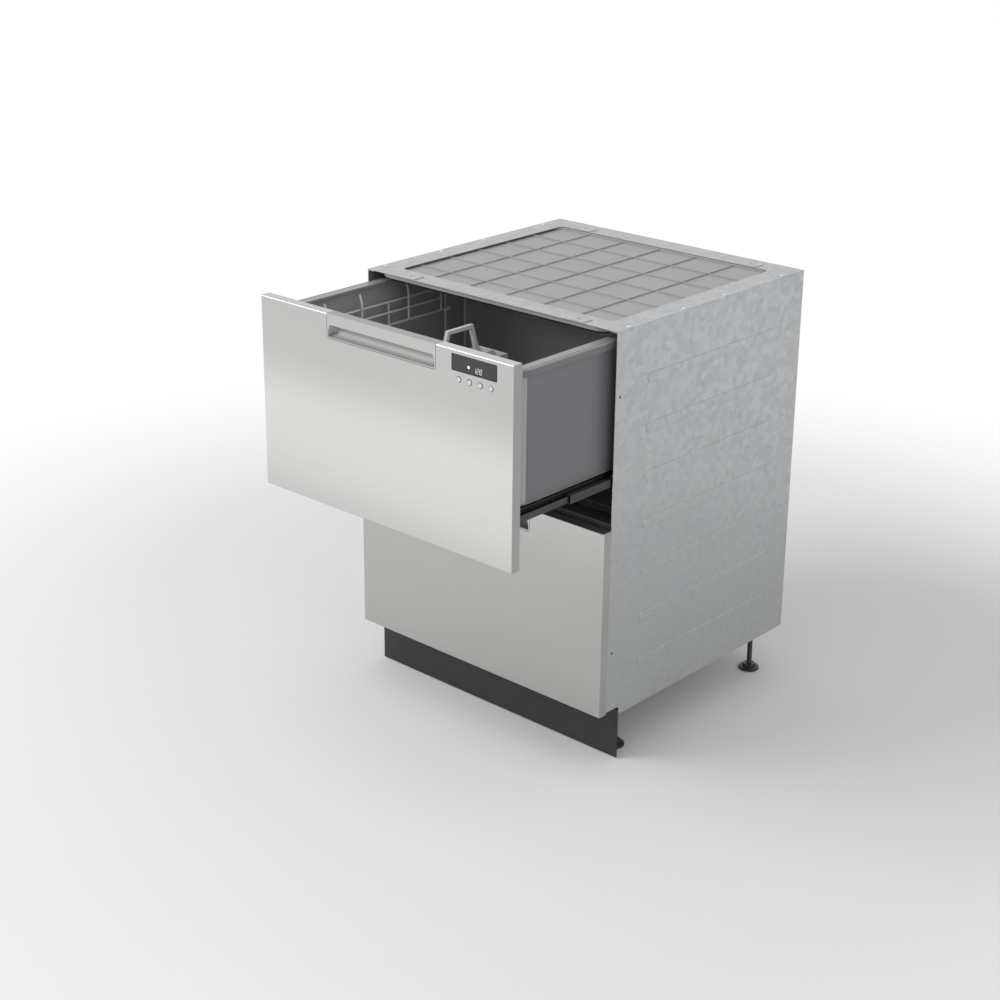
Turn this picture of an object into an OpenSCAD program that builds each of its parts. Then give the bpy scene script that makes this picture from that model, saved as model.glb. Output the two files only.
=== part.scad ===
// Built-in double-drawer dishwasher: two dishwasher drawers in one chassis, the upper one drawn out.
// Units are millimetres. X runs across the width, Y runs into the cabinet, Z is up from the floor.
// Drawer pieces are drawn in a drawer frame: y = 0 on the closed front face, z = 0 on the front's top edge.

/* [Overall] */
// Width over the fronts and the kickplate
body_w = 599; // [560:1:720]
// Height from the floor to the top of the upper front, with the feet fully in
body_h = 820; // [780:1:990]
// Depth from the closed front faces to the back panel
body_d = 573; // [520:1:700]
// Height of the toe space under the lower front
toe_h = 104; // [95:1:130]
// Distance from the front faces back to the kickplate
toe_recess = 54; // [45:1:75]
// Height of the lower front
lower_front_h = 356; // [330:1:380]
// Gap between the two closed fronts
front_gap = 3; // [2:0.5:6]
// How far the upper drawer stands open
open_rest = 240; // [0:5:520]

/* [Fronts] */
// Thickness of each front
front_t = 20; // [18:1:26]
// Sheet thickness of the steel skin of each front
skin_t = 1; // [0.7:0.1:2]
// Thickness of the liner behind each front
liner_t = 3; // [2:0.5:4]
// Width of the pull handle
handle_w = 258; // [150:1:320]
// Height of the pull handle
handle_h = 43.4; // [36:0.1:60]
// Height of the lip that the fingers pull
lip_h = 19.5; // [15:0.5:24]
// Thickness of that lip
lip_t = 4; // [3:0.5:6]
// Distance from the middle of the front to the middle of the display
display_x = 215; // [190:1:240]
// Width of the display window
display_w = 98; // [60:1:110]
// Height of the display window
display_h = 27; // [20:1:32]
// Distance from the front's top edge to the middle of the display
display_drop = 21.5; // [18:0.5:30]
// Distance between neighbouring buttons
button_pitch = 23.4; // [18:0.2:26]
// Radius of a button cap
button_r = 4.8; // [3.5:0.1:6]
// How far a button cap stands proud of the steel
button_proud = 0.8; // [0.4:0.1:1.5]
// Distance from the front's top edge to the row of buttons
button_drop = 49; // [44:0.5:60]

/* [Chassis] */
// Sheet thickness of the chassis panels
sheet_t = 1.2; // [0.8:0.1:2]
// Inset of the chassis from each side of the fronts
chassis_inset = 2; // [1:0.5:4]
// Radius of a levelling foot pad
foot_r = 20; // [15:1:26]
// Radius of a levelling foot's threaded stem
foot_stem_r = 5; // [4:0.5:6]
// Adjustment of the levelling feet
foot_travel = 60; // [40:5:60]
// Radius of the screw holes in the brackets and the side panels
screw_hole_r = 2.5; // [2:0.25:3.5]
// Distance between the left and right top brackets
bracket_spacing = 400; // [300:10:480]
// Radius over the thread of the water inlet
inlet_r = 13.2; // [10:0.1:14]
// Radius of the drain spigot
drain_r = 10; // [8:0.5:12]
// Radius of the bore for the mains lead
lead_bore_r = 4; // [3.5:0.5:5]

/* [Tub] */
// Space on each side between the tub wall and the chassis panel
runner_space = 18.3; // [17:0.1:24]
// Distance from the front's top edge down to the tub rim
rim_drop = 22; // [21:0.5:28]
// Width of the flat rim inside the tub wall
rim_in = 16; // [12:1:20]
// How far the rim stands out past the tub wall
rim_out = 6; // [4:0.5:7]
// Thickness of the rim
rim_t = 4; // [3:0.5:6]
// Height of the skirt at the rim's outer edge
skirt_h = 14; // [8:1:20]
// Wall thickness of the tub
tub_wall = 3.5; // [2.5:0.5:5]
// Corner radius of the tub wall seen from above
tub_r = 40; // [20:1:60]
// Height kept under the tub for the pump and the runners
under_tub_h = 94; // [86:1:120]
// Space behind the tub for hoses
rear_space = 49; // [45:1:80]
// Radius of the sump under the filter
sump_r = 95; // [90:1:110]
// Depth of the sump
sump_depth = 20; // [18:1:26]

/* [Runners] */
// Height of the fixed runner member
runner_h = 18; // [16:0.5:22]
// Sheet thickness of the runner members
runner_t = 1.2; // [1:0.1:1.8]
// Length of the intermediate runner member
mid_runner_len = 460; // [380:5:500]

/* [Racks] */
// Wire radius of the rack frame
frame_wire_r = 2.5; // [2:0.1:3]
// Wire radius of the tines
tine_r = 1.8; // [1.5:0.1:2.2]
// Height of the tines above the rack floor
tine_h = 75; // [50:5:100]
// Reach of the fold-up cup rack
cup_rack_d = 72; // [50:1:80]
// Length of the cutlery basket, from front to back
basket_l = 176; // [120:2:200]
// Width of the cutlery basket
basket_w = 70; // [50:1:76]
// Height of the cutlery basket
basket_h = 112; // [90:1:118]

/* [Hidden] */
$fn = 48;

// Clearances
fit = 0.3;
running_fit = 0.1;

// Colours
steel = [0.74, 0.74, 0.73];
tub_grey = [0.47, 0.47, 0.49];
pale_grey = [0.72, 0.73, 0.74];
dark_grey = [0.20, 0.20, 0.20];
zinc = [0.62, 0.64, 0.66];
wire_white = [0.88, 0.88, 0.87];
rubber_black = [0.08, 0.08, 0.08];
glass_black = [0.13, 0.13, 0.13];
board_green = [0.10, 0.32, 0.20];
motor_blue = [0.25, 0.28, 0.34];

// Fronts and the frame of the whole machine
upper_front_h = body_h - toe_h - front_gap - lower_front_h;
lower_top = toe_h + lower_front_h;
front_y = (open_rest + button_proud - body_d) / 2;
liner_inset = skin_t + fit;
liner_y = front_t - liner_t;
handle_d = liner_y - fit;
grip_wall = 1.5;
grip_top_t = 3.5;
grip_y = handle_d - grip_wall;
grip_z = -handle_h + 2 + grip_y;
button_x = display_x + 1.7;
board_y = front_t - 8;

// Chassis
chassis_hw = body_w / 2 - chassis_inset;
inner_hw = chassis_hw - sheet_t;
chassis_y = front_t + 2;
chassis_top = body_h - 3;
base_z = toe_h - 14;
tray_y = toe_recess + 4;
tray_edge_h = 20;
panel_flange = 16;
rear_flange_y = body_d - 2 * sheet_t - 0.2;
back_y = body_d - sheet_t;
services_z = base_z + 40;
foot_x = body_w / 2 - 38;
foot_front_y = toe_recess + 40;
foot_rear_y = body_d - 50;
bracket_front_y = chassis_y + 16;
bracket_rear_y = body_d - 33;
mid_rail_z = lower_top - 2;
mid_rail_h = 12;
mid_rail_d = 38;

// Tub
tub_h = min(upper_front_h, lower_front_h) - under_tub_h - rim_drop;
tub_hw = inner_hw - runner_space;
tub_y = front_t + 4;
tub_end = body_d - rear_space;
tub_d = tub_end - tub_y;
tub_cy = (tub_y + tub_end) / 2;
rim_z = -rim_drop;
tub_z = rim_z - tub_h;
rim_y = front_t + fit;
rim_end = tub_end + rim_out;
floor_t = 4;
floor_z = tub_z + floor_t;
in_hw = tub_hw - tub_wall;
sump_floor_t = 4;
sump_z = floor_z - sump_depth;
sump_base_z = sump_z - sump_floor_t;
sump_hole_r = 8;

// Screws of the top frame and screw holes to the cabinet
top_screw_r = 2;
top_screw_head_r = 4;
top_screw_x = chassis_hw - 8;
top_screw_ys = [chassis_y + 40, tub_cy - 60, tub_cy + 60, body_d - 60];
side_hole_y = chassis_y + 12;
side_hole_zs = [base_z + 130, chassis_top - 117];

// Water, drain and mains at the back
inlet_x = -200;
inlet_body_w = 36;
drain_x = -130;
drain_body_w = 28;
mains_x = 200;
mains_box_w = 70;
gland_r = lead_bore_r + 8;
services_margin = 34;
services_half_h = 28;
vent_count = 8;
vent_pitch = 40;
vent_w = 24;
vent_z = chassis_top - 130;

// Wash system
shaft_r = 5;
impeller_r = 40;
impeller_h = 12;
impeller_z = sump_z + 2;
motor_r = 60;
motor_h = 54;
motor_top = sump_base_z - fit;
filter_r = sump_r + 13;
filter_t = 2;
filter_z = floor_z + fit;
filter_boss_r = 22;
filter_boss_h = 18;
filter_pin_r = 8;
filter_pin_h = 14;
cup_filter_r = 22;
cup_filter_x = 69;
arm_z = filter_z + filter_boss_h + fit;
arm_hub_r = 26;
arm_hub_h = 18;
arm_t = 9;
arm_reach = min(in_hw, tub_d / 2 - tub_wall) - 30;
arm_tip_r = 14;

// Lid
lid_top = -(body_h - chassis_top) - sheet_t - 0.8;
lid_t = 6;
lid_hw = tub_hw - 2;
lid_y = front_t + 4;
lid_end = rim_end + 4;
lid_travel = 5.2;
seal_h = rim_drop + lid_top - lid_t - lid_travel - fit;
seal_w = 6;
seal_out = rim_in - 10;
pin_r = 2.8;
pin_z = lid_top - 4.5;
plunger_r = 2;
plunger_h = 24;
lifter_r = 5;
lifter_h = 24;
lifter_top = lid_top - 13;
lifter_x = inner_hw - 6;
lifter_ys = [lid_y + 96, lid_end - 94];

// Runners: heights are measured from the runner's middle line
runner_z = tub_z - 2 - runner_h / 2;
runner_y = chassis_y + 8;
runner_end = tub_end + 16;
mid_h = runner_h - 2 * runner_t - 2 * fit;
moving_h = mid_h - 2 * runner_t - 2 * fit;
mid_web_x = inner_hw - 3.8;
moving_web_x = inner_hw - 7.8;
ledge_x = tub_hw - 1;
ledge_w = 15;

// Racks
rack_hw = in_hw - 18.5;
rack_y = tub_y + tub_wall + 18;
rack_end = tub_end - tub_wall - 18;
rack_z = arm_z + arm_hub_h + 8;
rail_z = rim_z - 40;
weld_gap = running_fit;
floor_wire_r = frame_wire_r - 0.5;
rail_r = frame_wire_r - 0.3;
upright_r = frame_wire_r - 0.5;
lengthwise_z = rack_z - frame_wire_r - floor_wire_r - weld_gap;
cross_z = lengthwise_z + 2 * floor_wire_r + weld_gap;
leg_r = 3;
leg_inset = 30;
rail_inset = 20;
wire_sides = 8;
row_count = 8;
row_y = rack_y + 105;
row_pitch = (rack_end - 40 - row_y) / (row_count - 1);
tine_xs = [62, 120, 178];
lengthwise_xs = [-200, -135, -70, -5, 72, 137, 202];
upright_ys = [rack_y + 75, tub_cy, rack_end - 75];
rail_end_ys = [rack_y + rail_inset, rack_end - rail_inset];
leg_ys = [rack_y + leg_inset, rack_end - leg_inset];
cup_pivot_z = rim_z - 10 - cup_rack_d;
cup_collar_r = 5;
cup_pivot_x = -(rack_hw - 6.5);
cup_lean = 6;
cup_bend = 18;
cup_wire_r = frame_wire_r - 0.4;
cup_arm_ys = [rack_y + 66, rack_y + 154, rack_end - 182, rack_end - 94];
basket_x = 3;
basket_y = rack_y + 58;
basket_z = cross_z + floor_wire_r + fit;
basket_wall = 2.5;
spine_w = 8;
bow_top = rim_z - 18;
bow_bar = 7;

// Detergent dispenser on the inside of the tub's front wall
dispenser_x = -205;
dispenser_w = 150;
dispenser_d = 24;
dispenser_h = 88;
dispenser_y = tub_y + tub_wall + fit;
dispenser_z = rim_z - 20 - dispenser_h;
door_w = 60;
door_h = 50;
door_t = 3;
door_cx = dispenser_x + 40;
door_axis_y = dispenser_y + dispenser_d + fit + door_t;
door_axis_z = dispenser_z + 12;
hinge_pin_r = 1.5;

// ---------- helpers ----------

// Rectangle with round corners, centred
module round_rect(w, d, r) {
    difference() {
        square([w, d], center = true);
        for (sx = [-1, 1], sy = [-1, 1])
            translate([sx * (w / 2 - r / 2 + 1), sy * (d / 2 - r / 2 + 1)])
                square([r + 2, r + 2], center = true);
    }
    for (sx = [-1, 1], sy = [-1, 1])
        translate([sx * (w / 2 - r), sy * (d / 2 - r)])
            circle(r = r);
}

// Block with round upright edges from (x0, y0) to (x1, y1)
module round_block(x0, y0, x1, y1, z, h, r) {
    translate([(x0 + x1) / 2, (y0 + y1) / 2, z])
        linear_extrude(h)
            round_rect(x1 - x0, y1 - y0, r);
}

// Block given by its lowest corner and its size
module block(x, y, z, w, d, h) {
    translate([x, y, z])
        cube([w, d, h]);
}

// Straight rods along each axis
module rod_x(x0, x1, y, z, r) {
    translate([x0, y, z])
        rotate([0, 90, 0])
            cylinder(r = r, h = x1 - x0);
}

module rod_y(x, y0, y1, z, r) {
    translate([x, y1, z])
        rotate([90, 0, 0])
            cylinder(r = r, h = y1 - y0);
}

module rod_z(x, y, z0, z1, r) {
    translate([x, y, z0])
        cylinder(r = r, h = z1 - z0);
}

// The same shape on the right and, mirrored, on the left
module both_sides() {
    children();
    mirror([1, 0, 0])
        children();
}

// Places of the chassis and of the two drawers
module at_chassis() {
    translate([0, front_y, 0])
        children();
}

module at_upper(open = open_rest) {
    translate([0, front_y - open, body_h])
        children();
}

module at_lower() {
    translate([0, front_y, lower_top])
        children();
}

// ---------- chassis ----------

// Side panel with a toe notch, a top flange and a rear flange
module side_panel_right() {
    color(zinc)
        difference() {
            union() {
                translate([inner_hw, 0, 0])
                    rotate([90, 0, 90])
                        linear_extrude(sheet_t)
                            polygon([
                                [chassis_y, toe_h + 2], [tray_y, toe_h + 2], [tray_y, base_z],
                                [rear_flange_y + sheet_t, base_z],
                                [rear_flange_y + sheet_t, chassis_top - sheet_t - 0.2],
                                [chassis_y, chassis_top - sheet_t - 0.2]
                            ]);
                block(chassis_hw - panel_flange, chassis_y, chassis_top - 2 * sheet_t - 0.2,
                      panel_flange, rear_flange_y + sheet_t - chassis_y, sheet_t);
                block(chassis_hw - panel_flange, rear_flange_y, base_z,
                      panel_flange, sheet_t, chassis_top - sheet_t - 0.2 - base_z);
            }
            for (z = side_hole_zs)
                rod_x(inner_hw - 1, chassis_hw + 1, side_hole_y, z, screw_hole_r);
            for (y = top_screw_ys)
                rod_z(top_screw_x, y, chassis_top - 6, chassis_top, top_screw_r + 0.2);
        }
}

module side_panel_left() {
    mirror([1, 0, 0])
        side_panel_right();
}

// Open rectangular frame that ties the side panels at the top
module top_frame() {
    color(zinc)
        difference() {
            block(-chassis_hw, chassis_y, chassis_top - sheet_t,
                  2 * chassis_hw, rear_flange_y + sheet_t - chassis_y, sheet_t);
            round_block(-tub_hw + 26, chassis_y + 44, tub_hw - 26, body_d - 48,
                        chassis_top - 3, 6, 12);
            for (sx = [-1, 1], y = top_screw_ys)
                rod_z(sx * top_screw_x, y, chassis_top - 3, chassis_top + 3, top_screw_r + 0.2);
            for (sx = [-1, 1], y = [bracket_front_y, bracket_rear_y])
                rod_z(sx * bracket_spacing / 2, y, chassis_top - 3, chassis_top + 1, screw_hole_r);
        }
}

// Back panel with openings for water, drain and mains
module back_panel() {
    color(zinc)
        difference() {
            block(-chassis_hw, back_y, base_z,
                  2 * chassis_hw, sheet_t, chassis_top - base_z);
            translate([0, back_y + 3, 0])
                rotate([90, 0, 0])
                    round_block(inlet_x - services_margin, services_z - services_half_h,
                                drain_x + services_margin + 4, services_z + services_half_h, 0, 6, 10);
            rod_y(mains_x, back_y - 2, back_y + 3, services_z, gland_r + 0.4);
            for (k = [0 : vent_count - 1])
                block((k - (vent_count - 1) / 2) * vent_pitch - vent_w / 2 + 2, back_y - 1, vent_z,
                      vent_w, 4, 5);
        }
}

// Base tray with turned-up edges and nut bosses for the feet
module base_tray() {
    color(zinc)
        difference() {
            union() {
                block(-inner_hw, tray_y, base_z, 2 * inner_hw, rear_flange_y - 0.2 - tray_y, sheet_t);
                block(-inner_hw, tray_y, base_z, 2 * inner_hw, sheet_t, tray_edge_h);
                both_sides()
                    block(inner_hw - sheet_t, tray_y, base_z,
                          sheet_t, rear_flange_y - 0.2 - tray_y, tray_edge_h);
                for (sx = [-1, 1], y = [foot_front_y, foot_rear_y])
                    rod_z(sx * foot_x, y, base_z, base_z + 12, foot_stem_r + 5);
            }
            for (sx = [-1, 1], y = [foot_front_y, foot_rear_y])
                rod_z(sx * foot_x, y, base_z - 2, base_z + 14, foot_stem_r + running_fit);
        }
}

// Channel between the two drawer compartments
module mid_rail() {
    color(dark_grey)
        difference() {
            block(-inner_hw, chassis_y + 2, mid_rail_z, 2 * inner_hw, mid_rail_d, mid_rail_h);
            block(-inner_hw - 1, chassis_y + 2 + sheet_t, mid_rail_z - 1,
                  2 * inner_hw + 2, mid_rail_d - 2 * sheet_t, mid_rail_h + 1 - sheet_t);
        }
}

// Black kickplate with a small return at its top
module kickplate() {
    color(rubber_black) {
        block(-body_w / 2, toe_recess, 3, body_w, 2, toe_h - 6);
        block(-body_w / 2, toe_recess, toe_h - 4.2, body_w, tray_y - 0.2 - toe_recess, 1.2);
    }
}

// Four flat tabs on the top frame, each with a screw hole for the counter
module fixing_brackets() {
    color(zinc)
        for (sx = [-1, 1], y = [bracket_front_y, bracket_rear_y])
            difference() {
                round_block(sx * bracket_spacing / 2 - 22, y - 14, sx * bracket_spacing / 2 + 22, y + 14,
                            chassis_top, 1.5, 5);
                rod_z(sx * bracket_spacing / 2, y, chassis_top - 1, chassis_top + 3, screw_hole_r);
            }
}

// Screws that hold the top frame on the side panels
module chassis_screws() {
    color(steel)
        for (sx = [-1, 1], y = top_screw_ys) {
            rod_z(sx * top_screw_x, y, chassis_top, chassis_top + 1.8, top_screw_head_r);
            rod_z(sx * top_screw_x, y, chassis_top - 6, chassis_top + 1, top_screw_r);
        }
}

// Fixed runner member: a channel that is open towards the tub
module fixed_runner() {
    color(zinc)
        difference() {
            block(inner_hw - 11, runner_y, runner_z - runner_h / 2, 11, runner_end - runner_y, runner_h);
            block(inner_hw - 12, runner_y - 1, runner_z - runner_h / 2 + runner_t,
                  12 - runner_t, runner_end - runner_y + 2, runner_h - 2 * runner_t);
        }
}

module fixed_runners() {
    at_upper(0)
        both_sides()
            fixed_runner();
    at_lower()
        both_sides()
            fixed_runner();
}

// Lid lifter: a small actuator on the side panel whose bore guides the lid's plunger
module lid_lifter(y) {
    color(pale_grey)
        difference() {
            union() {
                rod_z(lifter_x, y, lifter_top - lifter_h, lifter_top, lifter_r);
                block(lifter_x, y - 9, lifter_top - lifter_h, inner_hw - lifter_x, 18, lifter_h);
            }
            rod_z(lifter_x, y, lifter_top - lifter_h + 2, lifter_top + 1, plunger_r + running_fit);
        }
}

module lid_lifters() {
    at_upper(0)
        both_sides()
            for (y = lifter_ys)
                lid_lifter(y);
    at_lower()
        both_sides()
            for (y = lifter_ys)
                lid_lifter(y);
}

// Water inlet valve: body on a foot, solenoid on top, threaded inlet to the rear
module inlet_valve() {
    foot_top = base_z + sheet_t + 14;
    body_top = foot_top + 43;
    solenoid_r = 14;
    color(pale_grey) {
        block(inlet_x - inlet_body_w / 2, body_d - 80, base_z + sheet_t, inlet_body_w, 30, 14);
        block(inlet_x - inlet_body_w / 2, body_d - 80, foot_top - 1, inlet_body_w, 42, body_top - foot_top + 1);
        rod_z(inlet_x, body_d - 59, body_top - 1, body_top + 21, solenoid_r);
        difference() {
            rod_y(inlet_x, body_d - 40, body_d - 8, services_z, inlet_r);
            rod_y(inlet_x, body_d - 30, body_d - 7, services_z, inlet_r - 4);
        }
    }
}

// Drain outlet: manifold on a foot with one spigot to the rear
module drain_outlet() {
    foot_top = base_z + sheet_t + 12;
    color(tub_grey) {
        block(drain_x - drain_body_w / 2, body_d - 76, base_z + sheet_t, drain_body_w, 36, 12);
        block(drain_x - drain_body_w / 2, body_d - 76, foot_top - 1, drain_body_w, 40, 48);
        difference() {
            rod_y(drain_x, body_d - 38, body_d - 6, services_z, drain_r);
            rod_y(drain_x, body_d - 34, body_d - 5, services_z, drain_r - 2.5);
        }
    }
}

// Terminal box with the gland for the mains lead
module power_inlet() {
    color(dark_grey)
        difference() {
            union() {
                block(mains_x - mains_box_w / 2, body_d - 78, base_z + sheet_t, mains_box_w, 60, 66);
                rod_y(mains_x, body_d - 20, body_d, services_z, gland_r);
            }
            rod_y(mains_x, body_d - 30, body_d + 1, services_z, lead_bore_r);
        }
}

// Levelling foot: pad, hexagon and threaded stem
module foot(sx, y) {
    color(dark_grey)
        translate([sx * foot_x, y, 0]) {
            cylinder(r = foot_r, h = 6);
            translate([0, 0, 5])
                cylinder(r = foot_r - 7, h = 7, $fn = 6);
            translate([0, 0, 11])
                cylinder(r = foot_stem_r, h = base_z + foot_travel - 8);
        }
}

// ---------- lids ----------

// Lid that closes a tub: a shallow tray with four side pins, each resting on a lifter plunger
module lid() {
    color(pale_grey) {
        difference() {
            round_block(-lid_hw, lid_y, lid_hw, lid_end, lid_top - lid_t, lid_t, tub_r - 6);
            round_block(-lid_hw + 14, lid_y + 14, lid_hw - 14, lid_end - 14, lid_top - 3, 4, tub_r - 20);
        }
        both_sides()
            for (y = lifter_ys) {
                rod_x(lid_hw - 2, lifter_x + plunger_r + 0.6, y, pin_z, pin_r);
                rod_z(lifter_x, y, pin_z - plunger_h, pin_z - pin_r - running_fit, plunger_r);
            }
    }
}

// Rubber seal under the lid, over the middle of the tub's rim
module lid_seal() {
    seal_hw = tub_hw - seal_out;
    seal_y = tub_y + seal_out;
    seal_end = tub_end - seal_out;
    color(rubber_black)
        difference() {
            round_block(-seal_hw, seal_y, seal_hw, seal_end, lid_top - lid_t - seal_h, seal_h, tub_r - seal_out);
            round_block(-seal_hw + seal_w, seal_y + seal_w, seal_hw - seal_w, seal_end - seal_w,
                        lid_top - lid_t - seal_h - 1, seal_h + 2, tub_r - seal_out - seal_w);
        }
}

// ---------- runners ----------

// Intermediate member: a channel nested in the fixed one
module mid_runners() {
    color(zinc)
        both_sides()
            difference() {
                block(inner_hw - 12.3, runner_y + 4, runner_z - mid_h / 2, 9.5, mid_runner_len, mid_h);
                block(inner_hw - 13.3, runner_y + 3, runner_z - mid_h / 2 + runner_t,
                      mid_web_x - inner_hw + 13.3, mid_runner_len + 2, mid_h - 2 * runner_t);
            }
}

// Moving member: a web in the channel, and a ledge that carries the tub
module moving_runners() {
    ledge_top = tub_z;
    web_len = tub_end - 4 - rim_y;
    arm_z0 = runner_z - moving_h / 2;
    color(zinc)
        both_sides() {
            block(moving_web_x, rim_y, arm_z0, runner_t, web_len, moving_h);
            block(ledge_x - runner_t, rim_y, arm_z0, moving_web_x - ledge_x + 2 * runner_t, web_len, runner_t);
            block(ledge_x - runner_t, rim_y, arm_z0, runner_t, web_len, ledge_top - arm_z0);
            block(ledge_x - ledge_w, rim_y, ledge_top - runner_t, ledge_w, web_len, runner_t);
        }
}

// ---------- fronts ----------

// Steel skin: a shallow pan, open at the back, with a notch for the handle
module front_skin(front_h, with_display) {
    color(steel)
        difference() {
            block(-body_w / 2, 0, -front_h, body_w, front_t, front_h);
            block(-body_w / 2 + skin_t, skin_t, -front_h + skin_t,
                  body_w - 2 * skin_t, front_t, front_h - 2 * skin_t);
            block(-handle_w / 2 - fit, -1, -handle_h - fit, handle_w + 2 * fit, front_t + 2, handle_h + fit + 1);
            if (with_display) {
                block(display_x - display_w / 2 - fit, -1, -display_drop - display_h / 2 - fit,
                      display_w + 2 * fit, skin_t + 2, display_h + 2 * fit);
                for (k = [0 : 3])
                    rod_y(button_centre(k), -1, skin_t + 1, -button_drop, button_r + fit);
            }
        }
}

function button_centre(k) = button_x + (k - 1.5) * button_pitch;

// Liner that closes the back of the steel pan
module front_liner(front_h) {
    color(tub_grey)
        difference() {
            block(-body_w / 2 + liner_inset, liner_y, -front_h + liner_inset,
                  body_w - 2 * liner_inset, liner_t, front_h - 2 * liner_inset);
            for (sx = [-1, 1], z = [-front_h + 40, -front_h + 110])
                block(sx * 200 - 40, front_t - 1, z, 80, 2, 30);
        }
}

// Section of the finger space behind the lip
module grip_section() {
    translate([-1, grip_z])
        square([grip_y + 1, -lip_h - grip_z]);
    translate([lip_t, grip_z])
        square([grip_y - lip_t, -grip_top_t - grip_z]);
    intersection() {
        translate([0, grip_z])
            circle(r = grip_y, $fn = 72);
        translate([-30, grip_z - 30])
            square([60, 30.5]);
    }
}

// Pull handle: a lip in the plane of the front and a round scoop behind it
module handle() {
    color(steel)
        difference() {
            union() {
                block(-handle_w / 2, 0, -handle_h, handle_w, handle_d, handle_h);
                block(-handle_w / 2, 0, -skin_t, handle_w, front_t, skin_t);
            }
            translate([-handle_w / 2 + 2, 0, 0])
                rotate([90, 0, 90])
                    linear_extrude(handle_w - 4)
                        grip_section();
        }
}

// Dark glass over the display
module display_window() {
    color(glass_black)
        translate([display_x, 3, -display_drop])
            rotate([90, 0, 0])
                linear_extrude(3)
                    round_rect(display_w, display_h, 2);
}

// Circuit board with its display module, on four standoffs to the liner
module control_board() {
    color(board_green) {
        block(display_x - 60, board_y, -92, 120, 1.6, 84);
        block(display_x - 44, 3 + fit, -display_drop - 11, 88, board_y - 2.5 - fit, 22);
        for (sx = [-1, 1], z = [-86, -14])
            rod_y(display_x + sx * 53, board_y + 1, liner_y - fit, z, 3);
    }
}

// Round button: cap in the steel, retaining collar and stem behind it
module button(k) {
    color(steel)
        translate([button_centre(k), 0, -button_drop]) {
            rod_y(0, -button_proud, skin_t + fit + 1, 0, button_r);
            rod_y(0, skin_t + fit, skin_t + fit + 1.2, 0, button_r + 1.6);
            rod_y(0, skin_t + fit + 1, board_y - 1.6, 0, 2);
        }
}

// ---------- tub and wash system ----------

// Tub: a deep tray with a flat rim, a skirt round the rim and a round sump in the floor
module tub() {
    color(tub_grey)
        difference() {
            union() {
                round_block(-tub_hw, tub_y, tub_hw, tub_end, tub_z, tub_h - 1, tub_r);
                difference() {
                    round_block(-tub_hw - rim_out, rim_y, tub_hw + rim_out, rim_end,
                                rim_z - skirt_h, skirt_h, tub_r + rim_out);
                    round_block(-tub_hw - rim_out + 3, rim_y + 3, tub_hw + rim_out - 3, rim_end - 3,
                                rim_z - skirt_h - 1, skirt_h - rim_t + 1, tub_r + rim_out - 3);
                }
                rod_z(0, tub_cy, sump_base_z, tub_z + 1, sump_r + tub_wall);
            }
            round_block(-in_hw, tub_y + tub_wall, in_hw, tub_end - tub_wall,
                        floor_z, tub_h - floor_t - rim_t, tub_r - tub_wall);
            round_block(-tub_hw + rim_in, tub_y + rim_in, tub_hw - rim_in, tub_end - rim_in,
                        rim_z - rim_t - 1, rim_t + 2, tub_r - rim_in);
            rod_z(0, tub_cy, sump_z, floor_z + 1, sump_r);
            rod_z(0, tub_cy, sump_base_z - 1, sump_z + 1, sump_hole_r);
        }
}

// Wash motor under the sump
module motor() {
    color(motor_blue)
        difference() {
            union() {
                rod_z(0, tub_cy, motor_top - motor_h, motor_top - 3, motor_r);
                rod_z(0, tub_cy, motor_top - 4, motor_top, motor_r + 16);
                block(motor_r - 8, tub_cy - 20, motor_top - 34, 26, 40, 26);
            }
            rod_z(0, tub_cy, motor_top - motor_h + 8, motor_top + 1, shaft_r + running_fit);
        }
}

// Rotor: shaft in the motor and impeller in the sump
module rotor() {
    color(pale_grey) {
        rod_z(0, tub_cy, motor_top - motor_h + 9, impeller_z + 3, shaft_r);
        rod_z(0, tub_cy, impeller_z, impeller_z + 3, impeller_r);
        for (a = [0 : 60 : 300])
            translate([0, tub_cy, impeller_z + 2.5])
                rotate([0, 0, a])
                    block(4, -1.5, 0, impeller_r - 6, 3, impeller_h - 2.5);
    }
}

// Perforated plate over the sump with the hollow post that carries the spray arm
module filter_plate() {
    color(pale_grey)
        difference() {
            union() {
                rod_z(0, tub_cy, filter_z, filter_z + filter_t, filter_r);
                rod_z(0, tub_cy, filter_z, filter_z + filter_boss_h, filter_boss_r);
                rod_z(0, tub_cy, filter_z, filter_z + filter_boss_h + filter_pin_h, filter_pin_r);
            }
            rod_z(0, tub_cy, filter_z - 1, filter_z + filter_boss_h + filter_pin_h + 1, filter_pin_r - 3);
            rod_z(cup_filter_x, tub_cy, filter_z - 1, filter_z + filter_t + 1, cup_filter_r + fit);
            for (ring = [0 : 2], k = [0 : 17 + 4 * ring])
                filter_hole(36 + 20 * ring, k * 360 / (18 + 4 * ring));
        }
}

// One hole of the filter plate, left out where the cup filter stands
module filter_hole(radius, turn) {
    away = norm([radius * cos(turn) - cup_filter_x, radius * sin(turn)]);
    if (away > cup_filter_r + 6)
        rod_z(radius * cos(turn), tub_cy + radius * sin(turn), filter_z - 1, filter_z + filter_t + 1, 2.5);
}

// Removable cup filter with a finger bar
module drain_filter() {
    color(dark_grey) {
        difference() {
            rod_z(cup_filter_x, tub_cy, sump_z + fit, filter_z + filter_t + 1, cup_filter_r);
            rod_z(cup_filter_x, tub_cy, sump_z + fit + 2, filter_z + filter_t + 2, cup_filter_r - 2);
        }
        difference() {
            rod_z(cup_filter_x, tub_cy, filter_z + filter_t + fit, filter_z + filter_t + fit + 2,
                  cup_filter_r + 4);
            rod_z(cup_filter_x, tub_cy, filter_z + filter_t - 1, filter_z + filter_t + 4, cup_filter_r - 2);
        }
        block(cup_filter_x - cup_filter_r + 1, tub_cy - 1.5, filter_z + filter_t, 2 * cup_filter_r - 2, 3, 8);
    }
}

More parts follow.
